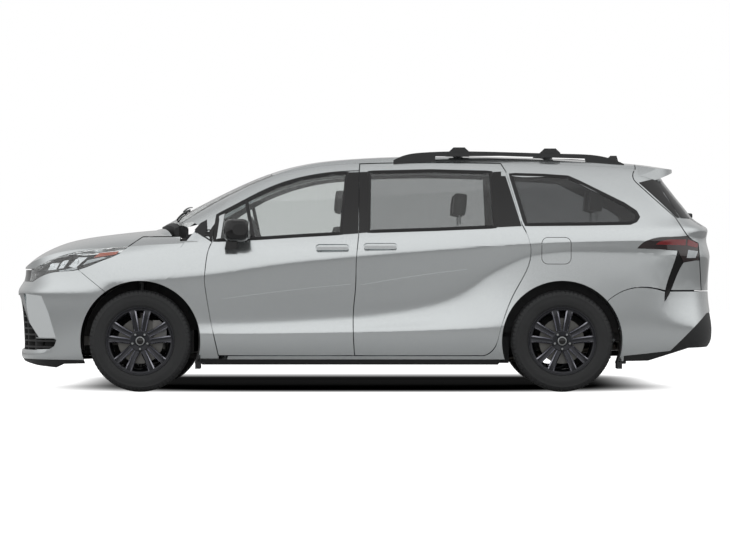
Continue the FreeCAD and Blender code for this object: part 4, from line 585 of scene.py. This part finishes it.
def block(name, outline, y0, y1, bevel=0.003):
    """A bevelled solid with a side view outline, between two places across the vehicle, in metres."""
    shape = bmesh.new()
    shape.faces.new([shape.verts.new((x, y0, z)) for x, z in outline])
    thickened(shape, lambda v: Vector((0, y1 - y0, 0)))
    bmesh.ops.bevel(shape, geom=shape.edges[:], offset=bevel, segments=2, affect="EDGES")
    return edited(shape, name)


def strip(name, line, surface, section, closed=False):
    """A strip along a side view line on a surface. Its section is (across, out) points in millimetres."""
    points = [on_side(surface, x, z) for x, z in line]
    count = len(points)
    rings = []
    for i, p in enumerate(points):
        before = points[(i - 1) % count] if closed or i > 0 else p
        after = points[(i + 1) % count] if closed or i < count - 1 else p
        along = (after - before).normalized()
        out = Vector((0, -1, 0))
        across = along.cross(out).normalized()
        out = across.cross(along).normalized()
        rings.append([p + across * a * mm + out * o * mm for a, o in section])
    return lofted(name, rings, closed)


def both_sides(name, mesh, finish, body):
    """A piece on the left side and its mirror image on the right."""
    for side, sign in sides.items():
        rides = body + "_" + side if body == "front_door" else body
        finished(name + "_" + side, moved(mesh, (0, 0, 0), -sign), finish, rides)


left_door = surface_of("front_door_left")
left_slider = surface_of("sliding_door_left")
left_body = surface_of("body_side_left", "front_fender_left")
left_door_glass = surface_of("front_door_left", "front_door_glass_left")
left_slider_glass = surface_of("sliding_door_left", "sliding_door_glass")
left_glass = surface_of("front_door_left", "front_door_glass_left", "sliding_door_left", "sliding_door_glass",
                        "quarter_glass", "body_side_left")

pillar_covers = [("middle_pillar_front", left_door_glass, "front_door",
                  [(-0.166, 1.144), (-0.044, 1.152), (-0.0415, 1.400), (-0.0405, 1.602), (-0.122, 1.600),
                   (-0.142, 1.400)]),
                 ("middle_pillar_rear", left_slider_glass, "body",
                  [(-0.041, 1.154), (0.030, 1.160), (0.034, 1.604), (-0.0375, 1.602), (-0.0385, 1.400)]),
                 ("rear_pillar_cover", left_glass, "body",
                  [(0.945, 1.196), (1.138, 1.204), (1.018, 1.606), (0.925, 1.600)])]
for name, surface, rides, outline in pillar_covers:
    cover = plate("pillar_cover", outline, surface, 0.004, 0.006, 0.016)
    both_sides(name, cover, gloss_black, rides)

window_rubber = moulded("window_seal_rubber", "#151516", 0.5, 1.0, 0.0001)
seal = [(-15, -4), (-15, 1), (-10, 4), (10, 4), (15, 1), (15, -4)]
front_window = [(-1.090, 1.098), (-0.774, 1.112), (-0.458, 1.132), (-0.168, 1.148), (-0.126, 1.592),
                (-0.239, 1.586), (-0.458, 1.551), (-0.634, 1.498), (-0.862, 1.389), (-1.066, 1.281)]
sliding_window = [(0.028, 1.162), (0.524, 1.178), (0.948, 1.196), (0.922, 1.596), (0.480, 1.608),
                  (0.034, 1.598)]
quarter_window = [(1.170, 1.212), (1.600, 1.216), (1.925, 1.222), (1.968, 1.240), (1.985, 1.270),
                  (1.966, 1.306), (1.882, 1.362), (1.748, 1.430), (1.562, 1.524), (1.482, 1.560),
                  (1.300, 1.573), (1.066, 1.580)]


def cornered(points, spacing=0.03):
    """Points along straight runs between the given corners, evenly close together."""
    out = []
    for a, b in zip(points, points[1:] + points[:1]):
        steps = max(int(math.dist(a, b) / spacing), 1)
        out += [(a[0] + (b[0] - a[0]) * s / steps, a[1] + (b[1] - a[1]) * s / steps) for s in range(steps)]
    return out


window_seals = [("front_window_seal", front_window, "front_door"),
                ("sliding_window_seal", sliding_window, "body"),
                ("quarter_window_seal", quarter_window, "body")]
for name, window, rides in window_seals:
    loop = strip("window_seal", cornered(window), left_glass, seal, closed=True)
    both_sides(name, loop, window_rubber, rides)
# Of the run there and back between two corners, the divider is the way down alone
divider_line = cornered([(-0.861, 1.392), (-0.807, 1.112)])[:10]
divider_section = [(-13, -2), (-13, 3), (-9, 5), (9, 5), (13, 3), (13, -2)]
divider = strip("divider", divider_line, left_glass, divider_section)
both_sides("window_divider", divider, gloss_black, "front_door")
corner_outline = [(-1.236, 1.176), (-1.110, 1.090), (-1.078, 1.272), (-1.092, 1.284), (-1.194, 1.226)]
corner_cover = plate("corner_cover", corner_outline, left_body, 0.006, 0.012, 0.03, 0.03)
both_sides("pillar_corner_cover", corner_cover, black_polypropylene, "body")
slat_section = [(-4, 0), (-3, 6), (3, 6), (4, 0)]
for i, z in enumerate((1.130, 1.152, 1.174)):
    slat = strip("slat", [(-1.170 + 0.010 * i, z), (-1.122, z + 0.004)], left_body, slat_section)
    both_sides("corner_slat_%d" % (i + 1), slat, gloss_black, "body")


# Headlamps. A clear hard-coated polycarbonate lens over a black moulded housing with three chromed projector
# cups, a pale light guide along its lower edge and an amber side lamp at its rear tip.
clear_lens = clear_sheet("hard_coated_polycarbonate", "#F4F6F6", 0.02, 1.58)


def plated(name, base, per_metre, least, most):
    """Bright metal whose roughness wanders between two values over a haze of so many patches in a metre."""
    finish, tree = blank_material(name)
    place = add(tree, "TexCoord", {})
    haze = add(tree, "TexNoise", {"Scale": per_metre}, {"Vector": (place, "Object")})
    rough = add(tree, "MapRange", {"To Min": least, "To Max": most}, {"Value": (haze, "Fac")})
    body = add(tree, "BsdfPrincipled", {"Base Color": colour(base), "Metallic": 1.0},
               {"Roughness": (rough, "Result")})
    add(tree, "OutputMaterial", {}, {"Surface": (body, "BSDF")})
    return finish


chromed_cup = plated("aluminised_reflector", "#E6E8EA", 80.0, 0.08, 0.2)


def lamp_plastic(name, light, dark, rough):
    """Coloured acrylic with the fine upright flutes, 4 mm apart, that spread a lamp's light."""
    finish, tree = blank_material(name)
    place = add(tree, "TexCoord", {})
    flutes = add(tree, "TexWave", {"Scale": 80.0, "bands_direction": "X"}, {"Vector": (place, "Object")})
    shade = add(tree, "ValToRGB", {}, {"Fac": (flutes, "Fac")}, (dark, light))
    bump = add(tree, "Bump", {"Strength": 0.4, "Distance": 0.001}, {"Height": (flutes, "Fac")})
    body = add(tree, "BsdfPrincipled",
               {"Roughness": rough, "IOR": 1.49, "Coat Weight": 1.0, "Coat Roughness": 0.02},
               {"Base Color": (shade, "Color"), "Normal": (bump, "Normal")})
    add(tree, "OutputMaterial", {}, {"Surface": (body, "BSDF")})
    return finish


amber_acrylic = lamp_plastic("amber_acrylic", "#D8591E", "#A83A12", 0.2)
red_acrylic = lamp_plastic("red_acrylic", "#A3101A", "#5E070E", 0.15)
frosted_guide = lamp_plastic("frosted_light_guide", "#E4E8EA", "#B9BFC3", 0.3)


def skin_of(node, dropped):
    """A copy of a node's skin without the faces that are to be dropped."""
    shape = bmesh.new()
    shape.from_mesh(nodes[node].data)
    bmesh.ops.remove_doubles(shape, verts=shape.verts, dist=0.00002)
    bmesh.ops.delete(shape, geom=[f for f in shape.faces if dropped(f)], context="FACES")
    return shape


def offset_skin(name, shape, lift, thick):
    """Moves a skin along its normals, and gives it a thickness in metres."""
    shape.normal_update()
    for v in shape.verts:
        v.co += v.normal * lift
    thickened(shape, lambda v: v.normal * -thick)
    return edited(shape, name)


def lamp_skin(name, side, sink, thick):
    """The faces of one side's headlamp that look out of the body, sunk inwards and given a thickness."""
    sign = sides[side]
    view = Vector((-1, 0.8 * sign, 0.35)).normalized()
    shape = skin_of("headlamps", lambda f: f.calc_center_median().y * sign < 0 or f.normal.dot(view) < 0.2)
    return offset_skin(name, shape, -sink, thick)


def middle_of(outline):
    """The mean x and z of an outline's corners."""
    return [sum(values) / len(outline) for values in zip(*outline)]


def patch(name, node, outline, lift, finish, body, thick=0.004, limit=0.2):
    """Both sides' pieces of a node's skin in a convex side view outline, lifted off it and thickened."""
    shape = skin_of(node, lambda f: f.calc_center_median().y > -0.2 or f.normal.y > -limit)
    x, z = middle_of(outline)
    for a, b in zip(outline, outline[1:] + outline[:1]):
        start = Vector((a[0], 0, a[1]))
        away = Vector((b[1] - a[1], 0, a[0] - b[0]))
        if away.dot(Vector((x, 0, z)) - start) > 0:
            away.negate()
        everything = shape.verts[:] + shape.edges[:] + shape.faces[:]
        bmesh.ops.bisect_plane(shape, geom=everything, plane_co=start, plane_no=away, clear_outer=True)
    both_sides(name, offset_skin(name, shape, lift, thick), finish, body)


def smooth_line(points):
    """Points along a smooth curve through the given ones, evenly close together."""
    spacing = 0.025
    last = len(points) - 1
    out = []
    for i in range(last):
        p = [Vector(points[min(max(k, 0), last)]) for k in range(i - 1, i + 3)]
        steps = max(int((p[2] - p[1]).length / spacing), 1)
        for s in range(steps):
            t = s / steps
            out.append(0.5 * (2 * p[1] + (p[2] - p[0]) * t + (2 * p[0] - 5 * p[1] + 4 * p[2] - p[3]) * t * t
                              + (3 * p[1] - p[0] - 3 * p[2] + p[3]) * t ** 3))
    return out + [Vector(points[last])]


for side in sides:
    lens_mesh = lamp_skin("lens", side, 0.0, 0.0025)
    lens = finished("headlamp_lens_" + side, lens_mesh, clear_lens, "body")
    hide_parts("headlamps")
    housing = lamp_skin("housing", side, 0.055, 0.004)
    finished("headlamp_housing_" + side, housing, gloss_black, "body")
lamp_face = surface_of("headlamps")
reflectors = [[(-2.333, 0.884), (-2.262, 0.890), (-2.236, 0.940), (-2.296, 0.936)],
              [(-2.246, 0.896), (-2.206, 0.900), (-2.160, 0.962), (-2.200, 0.958)],
              [(-2.164, 0.914), (-2.112, 0.900), (-2.018, 0.986), (-2.086, 0.984)]]
for i, outline in enumerate(reflectors):
    patch("headlamp_reflector_%d" % (i + 1), "headlamps", outline, -0.022, chromed_cup, "body",
          0.006)
    hit = on_side(lamp_face, *middle_of(outline))
    ball = turned("ball", [(0, -9), (7, -8), (13, -5), (17, 0), (18, 4)], 28)
    set_at(ball, hit + Vector((0.004, 0.016, 0)))
    both_sides("headlamp_ball_%d" % (i + 1), ball, clear_lens, "body")
guide_line = smooth_line([(-2.330, 0.840), (-2.250, 0.868), (-2.170, 0.884), (-2.090, 0.898)])
guide = strip("light_guide", guide_line, lamp_face, [(-7, -12), (-7, -5), (7, -5), (7, -12)])
both_sides("headlamp_guide", guide, frosted_guide, "body")
wedge_outline = [(-2.050, 0.922), (-1.868, 0.976), (-1.900, 0.980), (-2.010, 0.958)]
patch("headlamp_wedge", "headlamps", wedge_outline, -0.006, frosted_guide, "body")
side_lamp_outline = [(-1.968, 0.976), (-1.800, 1.000), (-1.782, 1.022), (-1.925, 1.010)]
patch("headlamp_side_lamp", "headlamps", side_lamp_outline, -0.004, amber_acrylic, "body")


# Tail lamps. Smoked red acrylic lenses that wrap the tail's corners, each with brighter red bars along its
# top and a frosted reversing lamp below them.
smoked_lens = mottled("smoked_red_acrylic", 14.0, 3.0, "#150608", "#2A0B0E",
                      {"Roughness": 0.06, "IOR": 1.49, "Coat Weight": 1.0, "Coat Roughness": 0.02})
dress(smoked_lens, "tail_lamps")
lamp_proud = 0.0015
bar_outlines = [[(2.110, 1.070), (2.330, 1.064), (2.336, 1.108), (2.200, 1.106), (2.140, 1.092)],
                [(2.344, 1.064), (2.425, 1.046), (2.436, 1.084), (2.350, 1.106)]]
for i, outline in enumerate(bar_outlines):
    patch("tail_lamp_bar_%d" % (i + 1), "tail_lamps", outline, lamp_proud, red_acrylic, "body")
reversing_outline = [(2.340, 0.972), (2.410, 0.974), (2.428, 1.022), (2.352, 1.032)]
patch("reversing_lamp", "tail_lamps", reversing_outline, lamp_proud, frosted_guide, "body")


# Tailgate side panels. Gloss-black moulded panels bonded beside the rear window, and behind them the wraps
# where the window's dark border laps round the tailgate's edge.
gate_panels = [[(2.003, 1.522), (2.138, 1.556), (2.150, 1.530), (2.184, 1.452), (2.140, 1.396)],
               [(2.140, 1.396), (2.184, 1.452), (2.242, 1.355), (2.300, 1.266), (2.276, 1.266)]]
gate_wraps = [[(2.156, 1.534), (2.184, 1.536), (2.268, 1.420), (2.190, 1.452)],
              [(2.190, 1.452), (2.268, 1.420), (2.390, 1.262), (2.306, 1.264), (2.248, 1.355)]]
for name, outlines, limit in (("gate_panel_", gate_panels, 0.2), ("gate_wrap_", gate_wraps, 0.08)):
    for end, outline in zip(("upper", "lower"), outlines):
        patch(name + end, "tailgate", outline, 0.003, gloss_black, "tailgate", limit=limit)


# Door handles. Painted mouldings that are pulled outwards. Each carries a slim strip in its face, moulded in
# ABS and plated in satin chrome.
bright_strip = plated("satin_chrome_plating", "#C9CBCC", 200.0, 0.16, 0.26)
inlay_section = [(-3.5, -1), (-3.5, 1), (-2.5, 2), (2.5, 2), (3.5, 1), (3.5, -1)]
inlay_half = 0.108
for name, x, z, rides, surface in (("front_handle_inlay", -0.2325, 1.044, "front_door", left_door),
                                   ("sliding_handle_inlay", 0.115, 1.052, "body", left_slider)):
    inlay = strip(name, [(x + inlay_half * i / 12, z) for i in range(-12, 13)], surface, inlay_section)
    both_sides(name, inlay, bright_strip, rides)


# Fuel flap. The outline of a flush painted flap over the filler in the left quarter panel: a black strip
# about
# 4 mm wide laid on the paint round it, the painted shade of the gap.
flap_round = 0.045
flap_low = 0.928 + flap_round
flap_high = 1.121 - flap_round
flap_front = 1.284 + flap_round
flap_rear = 1.496 - flap_round
flap_corners = [(flap_rear, flap_high, 0), (flap_front, flap_high, 90), (flap_front, flap_low, 180),
                (flap_rear, flap_low, 270)]
flap = []
for x, z, first in flap_corners:
    for step in range(0, 91, 15):
        angle = math.radians(first + step)
        flap.append((x + flap_round * math.cos(angle), z + flap_round * math.sin(angle)))
groove_section = [(-2, -1), (-2, 0.5), (2, 0.5), (2, -1)]
groove = strip("flap_groove", cornered(flap, 0.02), left_body, groove_section, closed=True)
# The black strip on the paint is the gap's painted shade
finished("fuel_flap_gap_left", groove, window_rubber, "body")


# Mirrors. Gloss-black moulded shells on a foot on each front door. In each, a flat pane of silvered glass,
# bonded to a plate, faces back.
mirror_glass = plated("silvered_mirror_glass", "#DDE0E0", 30.0, 0.0, 0.03)


def squared(angle, half_a, half_b, power=0.55):
    """A point of a rounded rectangle at an angle round it."""
    c = math.cos(angle)
    s = math.sin(angle)
    return math.copysign(abs(c) ** power, c) * half_a, math.copysign(abs(s) ** power, s) * half_b


pane_y = -1.078
pane_z = 1.171
pane_half_width = 0.090
pane_half_height = 0.062
pane_points = 48
pane_rings = []
for x, shrink in ((-0.8335, 0.0), (-0.8300, 0.0), (-0.8290, 0.002)):
    ring = []
    for k in range(pane_points):
        y, z = squared(2 * math.pi * k / pane_points, pane_half_width - shrink, pane_half_height - shrink)
        ring.append(Vector((x, pane_y + y, pane_z + z)))
    pane_rings.append(ring)
both_sides("mirror_glass", lofted("mirror_pane", pane_rings), mirror_glass, "front_door")


# Seats. Foam cushions under black leather, sewn in panels: crowned seat pads and backs with raised side
# bolsters, and headrests on steel posts. The stitching pulls the leather in along each seam.
black_leather, tree = blank_material("stitched_black_leather")
place = add(tree, "TexCoord", {})
# Leather grain is about 1 mm, drawn at 4 mm
grain = add(tree, "TexVoronoi", {"Scale": 250.0, "feature": "DISTANCE_TO_EDGE"},
            {"Vector": (place, "Object")})
wear = add(tree, "TexNoise", {"Scale": 7.0, "Detail": 4.0}, {"Vector": (place, "Object")})
shade = add(tree, "ValToRGB", {}, {"Fac": (wear, "Fac")}, ("#222223", "#343435"))
bump = add(tree, "Bump", {"Strength": 0.35, "Distance": 0.0006}, {"Height": (grain, "Distance")})
rough = add(tree, "MapRange", {"To Min": 0.38, "To Max": 0.55}, {"Value": (wear, "Fac")})
body = add(tree, "BsdfPrincipled", {"IOR": 1.5},
           {"Base Color": (shade, "Color"), "Roughness": (rough, "Result"), "Normal": (bump, "Normal")})
add(tree, "OutputMaterial", {}, {"Surface": (body, "BSDF")})


# Where a pad's face is shaped, as fractions of its half width and half height
face_above = 0.3
bolster_from = 0.55
seam_at = 0.60
channels_within = 0.62


def cushion(name, half_x, half_y, half_z, bolster, channels, pinch=0.10):
    """A crowned pad of foam: its ends pull in, bolsters rise along its sides, and channels run across it."""
    shape = bmesh.new()
    bmesh.ops.create_cube(shape, size=2.0)
    bmesh.ops.subdivide_edges(shape, edges=shape.edges[:], cuts=17, use_grid_fill=True)
    for v in shape.verts:
        x, y, z = v.co
        round_x = x * math.sqrt(1 - 0.175 * y * y - 0.175 * z * z + 0.06 * y * y * z * z)
        round_y = y * math.sqrt(1 - 0.18 * z * z - 0.08 * x * x)
        round_z = z * math.sqrt(1 - 0.15 * x * x - 0.09 * y * y)
        waist = 1 - pinch * 0.5 * (1 - y * y) if abs(x) > 0.9 else 1.0
        if z > face_above:
            round_z += bolster * max(abs(y) - bolster_from, 0) / (1 - bolster_from)
            round_z -= 0.05 * math.exp(-((abs(y) - seam_at) / 0.04) ** 2)
            if abs(y) < channels_within:
                round_z -= sum(0.045 * math.exp(-((x - c) / 0.045) ** 2) for c in channels)
        v.co = Vector((round_x * half_x * waist, round_y * half_y, round_z * half_z))
    return edited(shape, name)


# Lengths of a seat's pieces that are the same in every row, in metres, and their turns in degrees
side_gap = 0.006
pad_half_height = 0.075
back_half_depth = 0.062
base_half_height = 0.13
pad_turn = -3
headrest_turn = -84
headrest_rise = 0.138
headrest_across = 0.36
post_across = 0.06
post_drop = 0.085


def seat(name, x, y, width, cushion_z, deep, back_high, lean, node):
    """A seat with all its pieces. The lean is how far its back's top lies behind its foot."""
    half = width / 2 - side_gap
    back_turn = math.degrees(math.atan2(lean, back_high)) - 90
    pad = cushion("pad", deep / 2 - 0.01, half, pad_half_height, 0.5, (-0.45, 0.0, 0.45))
    set_at(pad, (x - deep / 2 + 0.02, y, cushion_z - 0.068), pad_turn)
    back = cushion("back", back_high / 2 - 0.01, half, back_half_depth, 0.5, (-0.5, -0.15, 0.2, 0.55))
    set_at(back, (x + 0.035 + lean / 2, y, cushion_z + back_high / 2 - 0.015), back_turn)
    pieces = [finished(name + "_pad", pad, black_leather, "body", 60),
              finished(name + "_back", back, black_leather, "body", 60)]
    headrests = (0.0,) if width < 0.7 else (-headrest_across, headrest_across)
    for i, across in enumerate(headrests):
        head_place = Vector((x + lean - 0.005, y + across, cushion_z + back_high + headrest_rise))
        head = set_at(cushion("headrest", 0.088, 0.125, 0.048, 0.1, (), 0.2), head_place, headrest_turn)
        pieces.append(finished("%s_headrest_%d" % (name, i + 1), head, black_leather, "body", 60))
        for j, post_y in enumerate((-post_across, post_across)):
            post = turned("post", [(6, -60), (6, 20)], 12)
            set_at(post, head_place + Vector((0, post_y, -post_drop)), 90, "X")
            finished("%s_post_%d_%d" % (name, i + 1, j + 1), post, bright_strip, "body")
    base = cushion("base", deep / 2 - 0.05, half - 0.05, base_half_height, 0.0, (), 0.0)
    set_at(base, (x - deep / 2 + 0.03, y, cushion_z - 0.245))
    finished(name + "_base", base, cabin_plastic, "body", 60)
    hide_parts(node)


for side, sign in sides.items():
    seat("front_seat_" + side, -0.315, sign * 0.375, 0.500, 0.690, 0.480, 0.560, 0.150, "front_seats")
    seat("middle_seat_" + side, 0.560, sign * 0.385, 0.500, 0.680, 0.470, 0.550, 0.150, "middle_seats")
seat("rear_bench", 1.590, 0.0, 1.180, 0.760, 0.450, 0.500, 0.130, "rear_bench")


# Splash guards and seam backings. Black moulded panels close the wheel houses on the inside, and foam and
# rubber pieces fill the hollows behind the open seams and the lower grille, so that little daylight shows.
arch_inner = 0.432
for axle, y in (("front", -0.500), ("rear", -0.700)):
    x = axle_places[axle]
    fan = []
    for degrees in range(10, 171, 8):
        angle = math.radians(degrees)
        fan.append((x + arch_inner * math.cos(angle), wheel_height + arch_inner * math.sin(angle)))
    wall = block("wall", fan, y, y + 0.004, 0.001)
    both_sides("wheel_house_wall_" + axle, wall, black_polypropylene, "body")
guards = [("rear_splash_guard", -0.704, -0.698,
           [(0.975, 0.205), (1.055, 0.205), (1.055, 0.400), (0.985, 0.400)]),
          ("front_flap_bracket", -0.880, -0.868,
           [(-1.222, 0.203), (-1.160, 0.203), (-1.160, 0.262), (-1.222, 0.262)]),
          ("rear_flap_bracket", -0.880, -0.868,
           [(1.838, 0.203), (1.900, 0.203), (1.900, 0.262), (1.838, 0.262)]),
          ("lower_duct", -0.640, -0.600,
           [(-2.345, 0.300), (-2.262, 0.300), (-2.255, 0.404), (-2.335, 0.404)])]
for name, y0, y1, outline in guards:
    both_sides(name, block(name, outline, y0, y1), black_polypropylene, "body")
closer_half = 0.30
closers = [("hood_front_seal", [(-2.466, 0.874), (-2.400, 0.876), (-2.400, 0.8935), (-2.464, 0.8925)]),
           ("tail_absorber", [(1.975, 0.712), (2.445, 0.712), (2.445, 0.756), (1.975, 0.756)])]
for name, outline in closers:
    finished(name, block(name, outline, -closer_half, closer_half), window_rubber, "body")


# Wipers. Two arms in black-coated steel with rubber blades lie across the windscreen's foot, and one short
# arm across the foot of the rear window, on a round hub.
ahead = Vector((1, 0, 0))
up = Vector((0, 0, 1))
front_face = surface_of("windscreen", "cowl", "hood")
rear_face = surface_of("tailgate", "tailgate_glass")


def over(surface, start, out, lift):
    """A point lifted outwards from where a line from a start far outside meets a surface."""
    return surface.ray_cast(Vector(start), -out, 3.0)[0] + out * lift


def swept(name, path, half_width, depth, across, out):
    """A rounded bar along a path of points, of one width across and one depth outwards."""
    section = [squared(2 * math.pi * k / 12, half_width, depth / 2, 0.7) for k in range(12)]
    return lofted(name, [[p + across * a + out * o for a, o in section] for p in path])


# Each bar has points at 13 places along it, and an arm is 0.6 as long as its blade
run = [t / 12 for t in range(13)]
arm_share = 0.6
high = 2.5
blade_ends = [(-1.375, -0.600, -1.305, -0.040), (-1.345, 0.020, -1.330, 0.560)]
for i, (x0, y0, x1, y1) in enumerate(blade_ends):
    blade = []
    arm = []
    for t in run:
        blade.append(over(front_face, (x0 + (x1 - x0) * t, y0 + (y1 - y0) * t, high), up, 0.012))
        arm_place = (x1 + 0.012 - (x1 - x0) * arm_share * t, y1 - (y1 - y0) * arm_share * t, high)
        arm.append(over(front_face, arm_place, up, 0.026 + 0.006 * math.sin(math.pi * t)))
    blade = swept("blade", blade, 0.004, 0.018, ahead, up)
    finished("wiper_blade_%d" % (i + 1), blade, window_rubber, "body")
    arm = swept("arm", arm, 0.008, 0.008, ahead, up)
    finished("wiper_arm_%d" % (i + 1), arm, rail_black, "body")
far_back = 4.0
hub_y = 0.03
hub_z = 1.292
rear_arm = []
for t in run:
    bow = 0.014 * math.sin(math.pi * t)
    rear_arm.append(over(rear_face, (far_back, hub_y + 0.33 * t, hub_z + 0.020 * t), ahead, 0.020 + bow))
rear_arm = swept("rear_arm", rear_arm, 0.008, 0.014, up, ahead)
finished("rear_wiper_arm", rear_arm, rail_black, "tailgate")
rear_hub = turned("rear_hub", [(0, -24), (14, -22), (19, -14), (21, 14), (21, 24)], 28)
set_at(rear_hub, over(rear_face, (far_back, hub_y, hub_z), ahead, 0.022), 90, "Z")
finished("rear_wiper_hub", rear_hub, rail_black, "tailgate")
